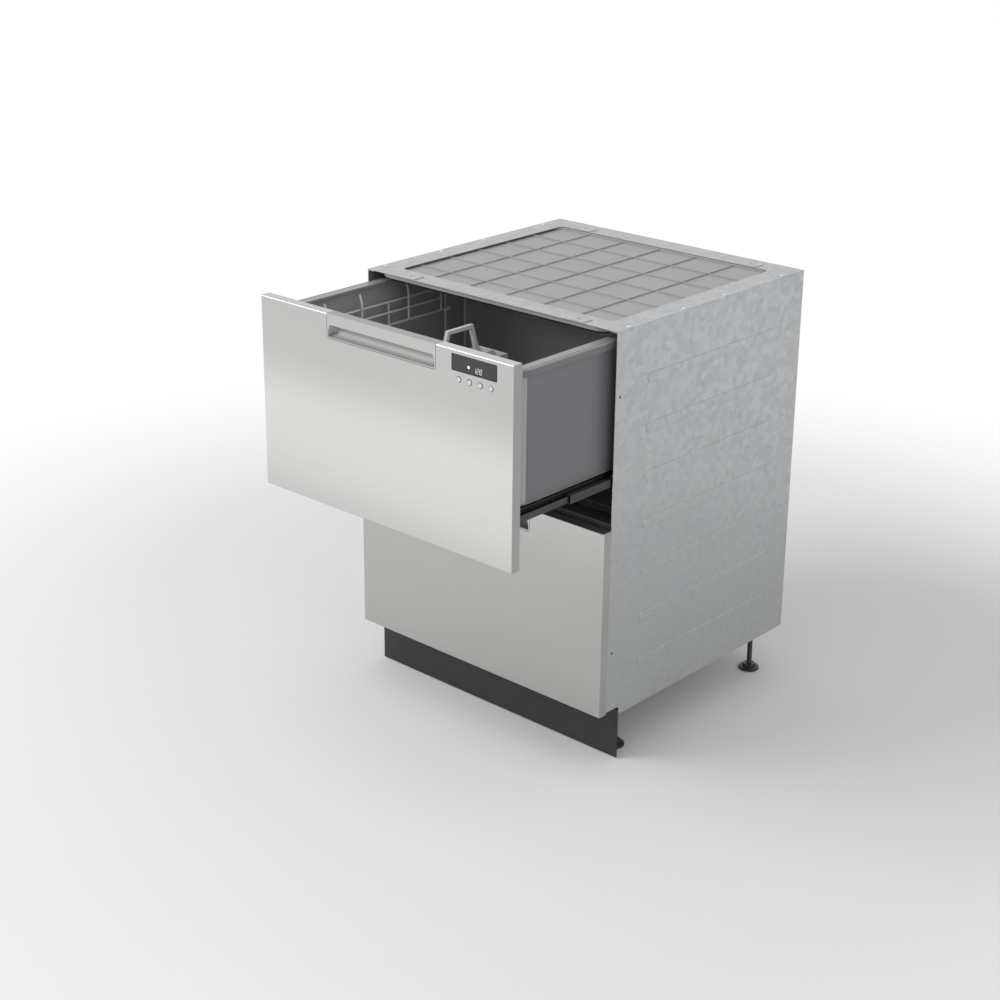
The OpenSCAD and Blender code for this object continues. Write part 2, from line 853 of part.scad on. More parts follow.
// Spray arm: hub on the filter's post and two tapered arms with nozzles
module spray_arm() {
    color(pale_grey)
        difference() {
            translate([0, tub_cy, arm_z]) {
                cylinder(r = arm_hub_r, h = arm_hub_h);
                translate([0, 0, 4])
                    linear_extrude(arm_t) {
                        polygon([
                            [-arm_reach + arm_tip_r, -arm_tip_r], [0, -arm_hub_r + 2],
                            [arm_reach - arm_tip_r, -arm_tip_r], [arm_reach - arm_tip_r, arm_tip_r],
                            [0, arm_hub_r - 2], [-arm_reach + arm_tip_r, arm_tip_r]
                        ]);
                        for (sx = [-1, 1])
                            translate([sx * (arm_reach - arm_tip_r), 0])
                                circle(r = arm_tip_r);
                    }
            }
            rod_z(0, tub_cy, arm_z - 1, arm_z + filter_pin_h + fit, filter_pin_r + running_fit);
            for (sx = [-1, 1], k = [1 : 5])
                block(sx * (35 + k * (arm_reach - 60) / 5) - 5, tub_cy - 1.5 + sx * (k % 2) * 6,
                      arm_z + 4 + arm_t - 3, 10, 3, 4);
        }
}

// ---------- racks ----------

// Base rack: wire floor on four feet, side frames, and rows of tines for plates.
// Each wire is its own rod, and lies a weld gap from the wires that it is joined to.
module base_rack() {
    color(wire_white)
        rack_wires($fn = wire_sides);
}

module rack_wires() {
    both_sides() {
        rod_y(rack_hw, rack_y - frame_wire_r, rack_end + frame_wire_r, rack_z, frame_wire_r);
        rod_y(rack_hw, rail_end_ys[0] - rail_r, rail_end_ys[1] + rail_r, rail_z, rail_r);
        for (y = rail_end_ys)
            upright(y);
        upright(upright_ys[1]);
        for (y = leg_ys)
            rod_z(rack_hw, y, floor_z + fit, rack_z - frame_wire_r - weld_gap, leg_r);
    }
    for (y = [upright_ys[0], upright_ys[2]]) {
        upright(y);
        upright_with_collar(y);
    }
    cross_hw = rack_hw - frame_wire_r - weld_gap;
    for (y = [rack_y, rack_end])
        rod_x(-cross_hw, cross_hw, y, rack_z, frame_wire_r);
    for (x = lengthwise_xs)
        rod_y(x, rack_y - frame_wire_r, rack_end + frame_wire_r, lengthwise_z, floor_wire_r);
    rod_x(-cross_hw, cross_hw, rack_y + 50, cross_z, floor_wire_r);
    for (k = [0 : row_count - 1]) {
        y = row_y + k * row_pitch;
        rod_x(-cross_hw, cross_hw, y, cross_z, floor_wire_r);
        for (x = tine_xs)
            rod_z(x, y, cross_z + floor_wire_r + weld_gap, rack_z + tine_h, tine_r);
    }
}

// Upright wire of the right side frame
module upright(y) {
    rod_z(rack_hw, y, rack_z + frame_wire_r + weld_gap, rail_z - rail_r - weld_gap, upright_r);
}

// Upright wire of the left side frame with a collar for the cup rack's pivot rod
module upright_with_collar(y) {
    difference() {
        union() {
            mirror([1, 0, 0])
                upright(y);
            rod_y(cup_pivot_x, y - 3, y + 3, cup_pivot_z, cup_collar_r, $fn = 48);
        }
        rod_y(cup_pivot_x, y - 4, y + 4, cup_pivot_z, frame_wire_r + running_fit, $fn = 48);
    }
}

// Cup rack, folded up beside the left frame; its arms lean to the wall near their tips
module cup_rack() {
    color(wire_white) {
        rod_y(cup_pivot_x, cup_arm_ys[0] - 6, upright_ys[2] + 8, cup_pivot_z, frame_wire_r);
        for (y = cup_arm_ys)
            cup_arm(y);
        rod_y(cup_pivot_x, cup_arm_ys[0], cup_arm_ys[3], cup_pivot_z + cup_rack_d / 3, cup_wire_r);
    }
}

module cup_arm(y) {
    bend_z = cup_pivot_z + cup_rack_d - cup_bend;
    lean_angle = atan2(cup_lean, cup_bend);
    rod_z(cup_pivot_x, y, cup_pivot_z, bend_z, cup_wire_r);
    translate([cup_pivot_x, y, bend_z]) {
        sphere(r = cup_wire_r + 0.2);
        rotate([0, -lean_angle, 0])
            cylinder(r = cup_wire_r, h = cup_bend / cos(lean_angle));
    }
}

// Cutlery basket with slotted walls, four compartments and a carrying bow
module cutlery_basket() {
    cell_w = basket_w / 2 - basket_wall - spine_w / 2;
    cell_l = (basket_l - 3 * basket_wall) / 2;
    color(pale_grey)
        difference() {
            union() {
                block(basket_x - basket_w / 2, basket_y, basket_z, basket_w, basket_l, basket_h);
                basket_bow();
            }
            for (side = [0, 1], half = [0, 1])
                block(basket_x - basket_w / 2 + basket_wall + side * (cell_w + spine_w),
                      basket_y + basket_wall + half * (cell_l + basket_wall),
                      basket_z + basket_wall, cell_w, cell_l, basket_h + 1);
            for (k = [0 : 8], level = [0, 1])
                block(basket_x - basket_w / 2 - 1, basket_y + 11 + k * (basket_l - 30) / 8,
                      basket_z + 12 + level * 48, basket_w + 2, 8, 36);
        }
}

// Carrying bow: an upright trapezium with a hand hole
module basket_bow() {
    mid_y = basket_y + basket_l / 2;
    foot_z = basket_z + basket_h - 6;
    translate([basket_x - spine_w / 2, 0, 0])
        rotate([90, 0, 90])
            linear_extrude(spine_w)
                difference() {
                    polygon([
                        [mid_y - 52, foot_z], [mid_y + 52, foot_z],
                        [mid_y + 32, bow_top], [mid_y - 32, bow_top]
                    ]);
                    polygon([
                        [mid_y - 42, basket_z + basket_h], [mid_y + 42, basket_z + basket_h],
                        [mid_y + 27, bow_top - bow_bar], [mid_y - 27, bow_top - bow_bar]
                    ]);
                }
}

// Dispenser body with a cup for powder, a rinse-aid cap and two hinge ears
module dispenser() {
    front = dispenser_y + dispenser_d;
    color(pale_grey)
        difference() {
            union() {
                block(dispenser_x, dispenser_y, dispenser_z, dispenser_w, dispenser_d, dispenser_h);
                for (side = [-1, 1])
                    block(door_cx + side * (door_w / 2 + 2.5) - 2, front - 1, door_axis_z - 3.5,
                          4, door_axis_y + 3 - front + 1, 7);
                rod_y(dispenser_x + 112, front - 1, front + 5, dispenser_z + 30, 15);
            }
            block(door_cx - door_w / 2 + 5, front - 18, door_axis_z + 8, door_w - 10, 19, door_h - 12);
            rod_x(door_cx - door_w / 2 - 6, door_cx + door_w / 2 + 6, door_axis_y, door_axis_z,
                  hinge_pin_r + running_fit);
            block(dispenser_x + 98, front + 3.5, dispenser_z + 28.5, 28, 2, 3);
        }
}

// Dispenser door on two hinge pins at its foot
module dispenser_door() {
    color(tub_grey) {
        block(door_cx - door_w / 2, door_axis_y - door_t, door_axis_z, door_w, door_t, door_h);
        rod_x(door_cx - door_w / 2, door_cx + door_w / 2, door_axis_y, door_axis_z, door_t);
        rod_x(door_cx - door_w / 2 - 4, door_cx + door_w / 2 + 4, door_axis_y, door_axis_z, hinge_pin_r);
    }
}

// ---------- nodes ----------

at_chassis() side_panel_left();
at_chassis() side_panel_right();
at_chassis() top_frame();
at_chassis() back_panel();
at_chassis() base_tray();
at_chassis() mid_rail();
at_chassis() kickplate();
at_chassis() fixing_brackets();
at_chassis() chassis_screws();
fixed_runners();
lid_lifters();
at_chassis() inlet_valve();
at_chassis() drain_outlet();
at_chassis() power_inlet();
at_chassis() foot(-1, foot_front_y);  // foot_front_left
at_chassis() foot(1, foot_front_y);  // foot_front_right
at_chassis() foot(-1, foot_rear_y);  // foot_rear_left
at_chassis() foot(1, foot_rear_y);  // foot_rear_right
at_upper(0) lid();  // upper_lid
at_upper(0) lid_seal();  // upper_lid_seal
at_lower() lid();  // lower_lid
at_lower() lid_seal();  // lower_lid_seal
at_upper(open_rest / 2) mid_runners();  // upper_mid_runners
at_lower() mid_runners();  // lower_mid_runners
at_upper() front_skin(upper_front_h, true);  // upper_front_skin
at_upper() front_liner(upper_front_h);  // upper_front_liner
at_upper() handle();  // upper_handle
at_upper() tub();  // upper_tub
at_upper() moving_runners();  // upper_moving_runners
at_upper() spray_arm();  // upper_spray_arm
at_upper() filter_plate();  // upper_filter_plate
at_upper() drain_filter();  // upper_drain_filter
at_upper() motor();  // upper_motor
at_upper() rotor();  // upper_rotor
at_upper() base_rack();  // upper_base_rack
at_upper() cup_rack();  // upper_cup_rack
at_upper() cutlery_basket();  // upper_cutlery_basket
at_upper() dispenser();  // upper_dispenser
at_upper() dispenser_door();  // upper_dispenser_door
at_upper() display_window();
at_upper() control_board();
at_upper() button(0);  // button_1
at_upper() button(1);  // button_2
at_upper() button(2);  // button_3
at_upper() button(3);  // button_4
at_lower() front_skin(lower_front_h, false);  // lower_front_skin
at_lower() front_liner(lower_front_h);  // lower_front_liner
at_lower() handle();  // lower_handle
at_lower() tub();  // lower_tub
at_lower() moving_runners();  // lower_moving_runners
at_lower() spray_arm();  // lower_spray_arm
at_lower() filter_plate();  // lower_filter_plate
at_lower() drain_filter();  // lower_drain_filter
at_lower() motor();  // lower_motor
at_lower() rotor();  // lower_rotor
at_lower() base_rack();  // lower_base_rack
at_lower() cup_rack();  // lower_cup_rack
at_lower() cutlery_basket();  // lower_cutlery_basket
at_lower() dispenser();  // lower_dispenser
at_lower() dispenser_door();  // lower_dispenser_door
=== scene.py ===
# %% [markdown]
# # A double-drawer dishwasher
# The model is a built-in dishwasher with two drawers, one above the other. The upper drawer
# stands open. The construction comes packed, with every piece in its real place, so this lesson
# adds what the eye sees: the brushed fronts, the moulded tub, the wire racks and all finishes.
# Places are in metres and sizes in millimetres. A piece is placed from the box of the packed
# piece it stands for.

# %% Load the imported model
import math

import bpy
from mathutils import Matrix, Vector


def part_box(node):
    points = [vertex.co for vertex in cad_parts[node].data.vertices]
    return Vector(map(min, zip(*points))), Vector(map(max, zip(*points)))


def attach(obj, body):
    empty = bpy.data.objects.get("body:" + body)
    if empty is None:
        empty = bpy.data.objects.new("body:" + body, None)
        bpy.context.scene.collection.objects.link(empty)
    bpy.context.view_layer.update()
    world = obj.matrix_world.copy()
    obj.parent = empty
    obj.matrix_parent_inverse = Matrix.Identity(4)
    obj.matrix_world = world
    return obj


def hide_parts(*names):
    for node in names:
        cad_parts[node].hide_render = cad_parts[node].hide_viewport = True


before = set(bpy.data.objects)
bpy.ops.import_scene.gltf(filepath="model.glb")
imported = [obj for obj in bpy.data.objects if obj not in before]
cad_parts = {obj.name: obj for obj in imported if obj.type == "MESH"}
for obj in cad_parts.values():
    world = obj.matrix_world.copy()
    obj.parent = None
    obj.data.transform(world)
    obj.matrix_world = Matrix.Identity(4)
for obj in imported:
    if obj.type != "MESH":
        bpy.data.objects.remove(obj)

MM = 0.001
X, Y, Z = 0, 1, 2
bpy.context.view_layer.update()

# %% [markdown]
# ## Camera, floor and light
# The photograph looks down on the machine from the right. Its camera was found by fitting the
# straight edges of the fronts and the kickplate, so here it is only written down, measured from
# the plane of the closed fronts.

# %% Camera
CLOSED_FRONT_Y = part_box("lower_front_skin")[0].y
CAMERA_FROM_FRONT = Vector((2185.5, -2372.4, 1734.2)) * MM
CAMERA_TURN = 43.50
CAMERA_TILT = 20.34
CAMERA_LENS = 68.62
CAMERA_SENSOR = 36
CAMERA_SHIFT = (0.05, -0.05)

bpy.ops.object.camera_add(
    location=CAMERA_FROM_FRONT + Vector((0, CLOSED_FRONT_Y, 0)),
    rotation=(math.radians(90 - CAMERA_TILT), 0, math.radians(CAMERA_TURN)),
)
camera = bpy.context.object
camera.data.sensor_width = CAMERA_SENSOR
camera.data.lens = CAMERA_LENS
camera.data.shift_x, camera.data.shift_y = CAMERA_SHIFT
bpy.context.scene.camera = camera
bpy.context.scene.view_settings.view_transform = "Standard"
print("camera stands at", [round(v, 2) for v in camera.location])

# %% [markdown]
# ## Writing a material as a formula
# A procedural material is a net of nodes. Sums are easier to read as sums, so a value in the net
# is wrapped in a small class whose operators add the Math nodes. Any other node comes from one
# method, which sets the node up and feeds its sockets.

# %% Values and nets
class Value:
    """A socket of a shader net that can be used in a sum."""

    def __init__(self, net, socket):
        self.net = net
        self.socket = socket

    def __add__(self, other):
        return self.net.node("Math", {"operation": "ADD"}, {0: self, 1: other})

    def __mul__(self, other):
        return self.net.node("Math", {"operation": "MULTIPLY"}, {0: self, 1: other})

    __radd__ = __add__
    __rmul__ = __mul__


class Net:
    """The nodes of a material or of the world."""

    def __init__(self, owner):
        owner.use_nodes = True
        self.tree = owner.node_tree

    def feed(self, socket, value):
        if isinstance(value, Value):
            self.tree.links.new(value.socket, socket)
        else:
            socket.default_value = value

    def node(self, kind, settings=None, inputs=None, output=0):
        made = self.tree.nodes.new("ShaderNode" + kind)
        for name, value in (settings or {}).items():
            if name == "stops":
                for stop, (place, tone) in zip(made.color_ramp.elements, value):
                    stop.position = place
                    stop.color = (tone, tone, tone, 1)
            else:
                setattr(made, name, value)
        for key, value in (inputs or {}).items():
            self.feed(made.inputs[key], value)
        return Value(self, made.outputs[output])


print("a value knows sums and products")

# %% A finish
FINISHES = {}


class Finish(Net):
    """A material round one Principled shader, with patterns on Object coordinates."""

    def __init__(self, name, colour, roughness, metallic=0.0, **plain):
        self.material = bpy.data.materials.new(name + "_finish")
        super().__init__(self.material)
        FINISHES[name] = self.material
        self.shader = self.tree.nodes["Principled BSDF"]
        self.colour = colour
        self.set("Base Color", (*colour, 1))
        self.set("Roughness", roughness)
        self.set("Metallic", metallic)
        for socket, amount in plain.items():
            self.set(socket.replace("_", " "), amount)

    def set(self, socket, value):
        self.feed(self.shader.inputs[socket], value)

    def coordinates(self, stretch=(1, 1, 1)):
        place = self.node("TexCoord", output=3)
        return self.node("Mapping", inputs={"Vector": place, "Scale": stretch})

    def noise(self, scale, detail=2.0, stretch=(1, 1, 1)):
        where = self.coordinates(stretch)
        return self.node("TexNoise", inputs={"Vector": where, "Scale": scale, "Detail": detail})

    def cells(self, scale):
        where = self.coordinates()
        return self.node("TexVoronoi", inputs={"Vector": where, "Scale": scale}, output=1)

    def ramp(self, value, low, high):
        return self.node("ValToRGB", {"stops": [(low, 0), (high, 1)]}, {0: value})

    def tint(self, amount, other):
        """Base colour that turns to another colour as amount goes from 0 to 1."""
        colours = {0: amount, 6: (*self.colour, 1), 7: (*other, 1)}
        self.set("Base Color", self.node("Mix", {"data_type": "RGBA"}, colours, 2))

    def bump(self, height, strength, distance):
        sizes = {"Height": height, "Strength": strength, "Distance": distance * MM}
        self.set("Normal", self.node("Bump", inputs=sizes))


def shade(colour, factor):
    return tuple(min(1.0, part * factor) for part in colour)


print("a finish has noise, cells, a ramp, a tint and a bump")

# %% [markdown]
# ## The studio
# A pale floor takes the object's shadow. The world is white to the camera and to glossy rays, so
# that steel shows a bright room, and dimmer as a light, so that colours render as written. Two
# large soft lamps give the shapes their shading. Far from the object the floor turns to plain
# white for all that looks at it, and near by it keeps the shadow.

# %% Floor
FLOOR_SIZE = 60
FLOOR_COLOUR = (0.79, 0.79, 0.785)
FLOOR_ROUGHNESS = 0.9
WHITE_FROM = 0.9
WHITE_AT = 2.1
LOOKING_RAYS = ("Is Camera Ray", "Is Glossy Ray", "Is Transmission Ray")

bpy.ops.mesh.primitive_plane_add(size=FLOOR_SIZE)
floor = bpy.context.object
floor.name = "floor"

paper = Finish("studio_floor", FLOOR_COLOUR, FLOOR_ROUGHNESS)
paper.tint(paper.noise(3.0) * 0.5, shade(FLOOR_COLOUR, 0.985))
away = paper.node("VectorMath", {"operation": "LENGTH"}, {0: paper.coordinates()}, 1)
far = paper.node(
    "MapRange", {"interpolation_type": "SMOOTHSTEP"}, {0: away, 1: WHITE_FROM, 2: WHITE_AT}
)
camera_ray, glossy_ray, glass_ray = (paper.node("LightPath", output=ray) for ray in LOOKING_RAYS)
share = far * (camera_ray + glossy_ray + glass_ray)
own = Value(paper, paper.shader.outputs[0])
mixed = paper.node("MixShader", inputs={0: share, 1: own, 2: paper.node("Emission")})
paper.feed(paper.tree.nodes["Material Output"].inputs[0], mixed)
floor.data.materials.append(paper.material)
print("floor turns white from", WHITE_FROM, "to", WHITE_AT, "m")

# %% World and lamps
WORLD_LIGHT = 0.62
LAMPS_AIM = Vector((0, 0, 0.45))
LAMPS = {
    "key_lamp": ((-2.6, -3.4, 3.6), 3.0, 150),
    "side_lamp": ((3.8, -1.6, 2.4), 2.4, 26),
}

world = bpy.data.worlds.new("studio")
bpy.context.scene.world = world
sky = Net(world)
brightness = WORLD_LIGHT
for ray in LOOKING_RAYS:
    seen = sky.node("LightPath", output=ray)
    brightness = sky.node("Math", {"operation": "MAXIMUM"}, {0: seen, 1: brightness})
background = sky.tree.nodes["Background"]
sky.feed(background.inputs["Strength"], brightness)
sky.feed(background.inputs["Color"], (1, 1, 1, 1))

for name, (place, size, power) in LAMPS.items():
    bpy.ops.object.light_add(type="AREA", location=place)
    lamp = bpy.context.object
    lamp.name = name
    lamp.data.size = size
    lamp.data.energy = power
    aim = LAMPS_AIM - lamp.location
    lamp.rotation_euler = aim.to_track_quat("-Z", "Y").to_euler()
print("lamps:", list(LAMPS))

# %% [markdown]
# ## Finishes
# ### Brushed steel
# The fronts are stainless steel, brushed from side to side. Brushing is thousands of fine
# scratches: noise that is stretched a hundredfold along X makes them, and it drives the roughness
# and a very low bump. Soft level bands of painted light and shade lie over the fronts: the colour is
# brightest half way down the upper front and darker above that and towards the floor, so the tone
# of the fronts drifts with the height. Buttons are brushed across and runners drawn lengthwise, so
# their marks run another way.

# %% Brushed steel
# Heights and strengths of the painted light and shade bands on the fronts.
BRIGHT_TOP = 0.62
BRIGHT_BOTTOM = 0.58
DARK_TOP = 0.74
DARK_BOTTOM = 0.36
DARKNESS_ABOVE = 0.66
DARKNESS_BELOW = 0.80
PAINTED_BAND_TONE = 0.64
PLAIN_SHADE = 0.80
HAIRLINE_FINENESS = 3.1
CROSSWISE_BRUSH = (5, 60, 620)
ROUND_BRUSH = (700, 60, 60)
LENGTHWISE_DRAW = (400, 6, 400)


def painted_light_bands(finish):
    """Painted light and shade: 0 in the bright band half way down the upper front, and more above it and
    below it.
    """
    height = finish.node("SeparateXYZ", inputs={0: finish.coordinates()}, output=2)
    soft = {"interpolation_type": "SMOOTHSTEP"}
    above = finish.node("MapRange", soft, {0: height, 1: BRIGHT_TOP, 2: DARK_TOP})
    below = finish.node("MapRange", soft, {0: height * -1, 1: -BRIGHT_BOTTOM, 2: -DARK_BOTTOM})
    return above * DARKNESS_ABOVE + below * DARKNESS_BELOW


def brushed_steel(name, colour, roughness, stretch, streak_bump=0.05, metallic=1.0, painted_bands=False):
    finish = Finish(name, colour, roughness, metallic)
    streaks = finish.noise(1.0, 3.0, stretch)
    hairlines = finish.noise(1.0, 1.0, tuple(HAIRLINE_FINENESS * part for part in stretch))
    # Broad soft patches darken the base colour: uneven tone of the steel, and painted reflection of a
    # room.
    tone_and_reflection = finish.ramp(finish.noise(2.4, 1.0, (0.5, 1, 1.5)), 0.36, 0.64)
    if painted_bands:
        finish.tint(painted_light_bands(finish) + tone_and_reflection * 0.14 + streaks * 0.12, shade(colour, PAINTED_BAND_TONE))
    else:
        finish.tint(tone_and_reflection * 0.75 + streaks * 0.25, shade(colour, PLAIN_SHADE))
    finish.set("Roughness", roughness - 0.06 + streaks * 0.10 + hairlines * 0.06)
    finish.bump(streaks + hairlines, streak_bump, 0.2)


# The fronts take the painted light and shade bands.
brushed_steel("brushed_front", (0.75, 0.75, 0.738), 0.34, CROSSWISE_BRUSH, painted_bands=True)
# Darker, duller steel: in the finger space partly a satin finish and partly painted shade of the recess,
# and on the folded sides of the pans painted shade.
brushed_steel("shaded_satin", (0.40, 0.40, 0.393), 0.55, CROSSWISE_BRUSH, metallic=0.45)
brushed_steel("button_metal", (0.72, 0.72, 0.71), 0.28, ROUND_BRUSH)
# Near black: painted shade, as the runners lie in the shadow under the tubs.
brushed_steel("runner_steel", (0.085, 0.085, 0.09), 0.45, LENGTHWISE_DRAW, 0.12)
print("steel finishes:", list(FINISHES)[1:])

# %% [markdown]
# ### Zinc sheet
# Zinc-coated sheet shows flat crystals a centimetre or two wide, each a slightly different grey.
# A Voronoi pattern gives one grey per cell, and a soft noise stains the sheet.

# %% Zinc sheet and screws
def zinc_coated(name, colour, roughness):
    finish = Finish(name, colour, roughness, metallic=0.85)
    crystals = finish.cells(85)
    stains = finish.noise(6.0, 3.0)
    finish.tint(crystals * 0.6 + stains * 0.4, shade(colour, 0.84))
    finish.set("Roughness", roughness - 0.1 + crystals * 0.22)
    finish.bump(finish.noise(900, 2.0) + crystals * 0.4, 0.08, 0.2)


zinc_coated("zinc_sheet", (0.50, 0.51, 0.52), 0.46)
zinc_coated("bright_screws", (0.70, 0.70, 0.70), 0.32)
print("zinc finishes:", list(FINISHES)[-2:])

# %% [markdown]
# ### Paint and plastic
# Powder paint has an even orange-peel skin. Moulded plastic has a fine grain from the mould, and
# its colour drifts a little where the melt cooled. Both come from noise at two scales. A recipe is
# a colour, a roughness and, where the grain differs, its fineness and strength.

# %% Paint, plastic, rubber and light
PAINTS = {
    "black_sheet": ((0.014, 0.015, 0.015), 0.55),
    "dark_rail": ((0.06, 0.06, 0.065), 0.45),
    "motor_case": ((0.12, 0.14, 0.18), 0.40),
}
MOULDINGS = {
    "tub_plastic": ((0.165, 0.165, 0.176), 0.40),
    "rim_plastic": ((0.31, 0.31, 0.318), 0.36),
    # Lighter than the tub's own plastic: painted light on the inner walls.
    "tub_inside_painted_light": ((0.40, 0.40, 0.408), 0.30),
    "lid_plastic": ((0.36, 0.36, 0.37), 0.45),
    "pale_plastic": ((0.56, 0.57, 0.58), 0.40),
    "filter_plastic": ((0.34, 0.35, 0.36), 0.42),
    "valve_plastic": ((0.66, 0.66, 0.62), 0.45, 1200, 0.2),
    "grey_plastic": ((0.22, 0.22, 0.23), 0.45),
    "black_plastic": ((0.028, 0.028, 0.029), 0.48),
    "board_green": ((0.02, 0.12, 0.06), 0.35),
    "seal_rubber": ((0.022, 0.022, 0.022), 0.75, 900, 0.25),
    "coated_wire": ((0.74, 0.74, 0.725), 0.26, 700, 0.06),
    "display_glass": ((0.032, 0.032, 0.030), 0.20, 2500, 0.01),
}


def painted(name, colour, roughness):
    finish = Finish(name, colour, roughness, Coat_Weight=0.15)
    dust = finish.noise(14, 4.0)
    finish.tint(finish.ramp(dust, 0.45, 0.75), shade(colour, 1.35))
    finish.set("Roughness", roughness - 0.05 + dust * 0.12)
    finish.bump(finish.noise(1400, 2.0), 0.12, 0.15)


def moulded(name, colour, roughness, grain=1800, grain_strength=0.10):
    finish = Finish(name, colour, roughness)
    flow = finish.noise(9, 3.0, (1, 1, 0.4))
    specks = finish.noise(grain, 2.0)
    finish.tint(flow * 0.7 + specks * 0.3, shade(colour, 0.84))
    finish.set("Roughness", roughness - 0.06 + flow * 0.12)
    finish.bump(specks, grain_strength, 0.12)


def glowing(name, colour, strength):
    """Lit segments of the display, a little uneven like real ones."""
    finish = Finish(name, colour, 0.4, Emission_Strength=strength)
    finish.tint(finish.noise(900, 1.0), shade(colour, 0.8))
    finish.set("Emission Color", (*colour, 1))
    return finish.material


for name, recipe in PAINTS.items():
    painted(name, *recipe)
for name, recipe in MOULDINGS.items():
    moulded(name, *recipe)
display_light = glowing("display_light", (0.80, 0.86, 0.86), 0.55)
print("finishes:", len(FINISHES))

# %% [markdown]
# ## Tools for modelling
# Every new piece starts as a primitive and is shaped with Blender's own operators. An operator
# works on all that is selected, so everything is deselected first, and then edges or faces are
# picked by where they lie. A few short helpers keep the steps below readable.

# %% Selecting
def go_to(mode):
    bpy.ops.object.mode_set(mode=mode)


def deselect():
    if bpy.context.mode != "OBJECT":
        go_to("OBJECT")
    bpy.ops.object.select_all(action="DESELECT")


def hold(piece):
    deselect()
    piece.select_set(True)
    bpy.context.view_layer.objects.active = piece


def settle(piece):
    """Puts the piece's place, turn and size into its mesh."""
    hold(piece)
    bpy.ops.object.transform_apply(location=True, rotation=True, scale=True)
    return piece


def edit_all(piece):
    """Goes to edit mode with the whole piece selected."""
    hold(piece)
    go_to("EDIT")
    bpy.ops.mesh.select_mode(type="VERT")
    bpy.ops.mesh.select_all(action="SELECT")


def pick(piece, test, part="EDGE"):
    """Goes to edit mode with the edges or faces selected whose middle and direction pass the test."""
    hold(piece)
    go_to("EDIT")
    bpy.ops.mesh.select_mode(type=part)
    bpy.ops.mesh.select_all(action="DESELECT")
    go_to("OBJECT")
    points = piece.data.vertices
    if part == "FACE":
        for face in piece.data.polygons:
            face.select = test(face.center, face.normal)
    else:
        for edge in piece.data.edges:
            first, last = (points[index].co for index in edge.vertices)
            edge.select = test((first + last) / 2, (last - first).normalized())
    go_to("EDIT")


def near(value, target, reach=0.2 * MM):
    return abs(value - target) < reach


def edges_along(axis):
    """A test for the edges that run along an axis."""
    return lambda middle, along: abs(along[axis]) > 0.9


print("edges are picked by a test of their middle and direction")

# %% Shaping
def round_edges(piece, width, test, segments=4):
    pick(piece, test)
    bpy.ops.mesh.bevel(offset=width * MM, segments=segments, affect="EDGES")
    deselect()
    return piece


def apply_modifier(piece, kind, **settings):
    hold(piece)
    modifier = piece.modifiers.new(kind.lower(), kind)
    for name, value in settings.items():
        setattr(modifier, name, value)
    bpy.ops.object.modifier_apply(modifier=modifier.name)
    return piece


def combine(piece, others, operation):
    for other in others:
        apply_modifier(piece, "BOOLEAN", object=other, operation=operation, solver="EXACT")
        assert piece.data.polygons, "the carving left nothing"
        bpy.data.objects.remove(other)
    return piece


def carve(piece, *cutters):
    return combine(piece, cutters, "DIFFERENCE")


def weld(piece, *additions):
    return combine(piece, additions, "UNION")


def merge(piece, distance):
    """Merges the points that lie together and turns every face outwards."""
    edit_all(piece)
    bpy.ops.mesh.remove_doubles(threshold=distance * MM)
    bpy.ops.mesh.normals_make_consistent(inside=False)
    deselect()
    return piece


def joined(pieces):
    """Several shapes as one object, each still closed in itself."""
    deselect()
    for piece in pieces:
        piece.select_set(True)
    bpy.context.view_layer.objects.active = pieces[0]
    bpy.ops.object.join()
    return pieces[0]


print("shapes are rounded, carved, welded, merged and joined")

# %% [markdown]
# ### Stock shapes
# Three starting shapes serve nearly every piece: a block with upright edges that can be round, a
# rod between two points, and a turned part whose half section is spun round an axis.

# %% Stock shapes
def block(low, high, corner=0, corner_segments=8):
    low, high = Vector(low), Vector(high)
    deselect()
    bpy.ops.mesh.primitive_cube_add(size=1, location=(low + high) / 2, scale=high - low)
    piece = settle(bpy.context.object)
    if corner:
        round_edges(piece, corner, edges_along(Z), corner_segments)
    return piece


def rod(start, end, radius, sides=24):
    start, end = Vector(start), Vector(end)
    deselect()
    bpy.ops.mesh.primitive_cylinder_add(
        vertices=sides, radius=radius * MM, depth=(end - start).length, location=(start + end) / 2
    )
    piece = bpy.context.object
    piece.rotation_euler = (end - start).to_track_quat("Z", "Y").to_euler()
    return settle(piece)


def chain(points, closed=False):
    """A line through the points. It starts as a plane whose own corners are deleted."""
    deselect()
    bpy.ops.mesh.primitive_plane_add(size=1)
    piece = bpy.context.object
    edit_all(piece)
    bpy.ops.mesh.delete(type="VERT")
    deselect()
    links = [(index, index + 1) for index in range(len(points) - 1)]
    if closed:
        links.append((len(points) - 1, 0))
    piece.data.vertices.add(len(points))
    for vertex, point in zip(piece.data.vertices, points):
        vertex.co = point
    piece.data.edges.add(len(links))
    for edge, link in zip(piece.data.edges, links):
        edge.vertices = link
    piece.data.update()
    return piece


def turned(profile, centre, axis, sides=48):
    """A solid of revolution. The profile is (radius, height) points, from axis to axis."""
    piece = chain([(radius * MM, 0, height * MM) for radius, height in profile])
    edit_all(piece)
    bpy.ops.mesh.spin(steps=sides, angle=math.tau, center=(0, 0, 0), axis=(0, 0, 1))
    merge(piece, 0.005)
    piece.rotation_euler = Vector(axis).to_track_quat("Z", "Y").to_euler()
    piece.location = centre
    return settle(piece)


print("stock shapes: block, rod and turned part")

# %% [markdown]
# ### Pressed and moulded edges
# No real edge is sharp: sheet has a broken edge and plastic a small radius, and these thin lines
# of light are what makes an object look made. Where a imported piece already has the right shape,
# a copy of it is cleaned, its edges are bevelled, and the copy stands for it.

# %% Soft edges
DOUBLE = 0.02
SHARP = 30
FLAT = 2


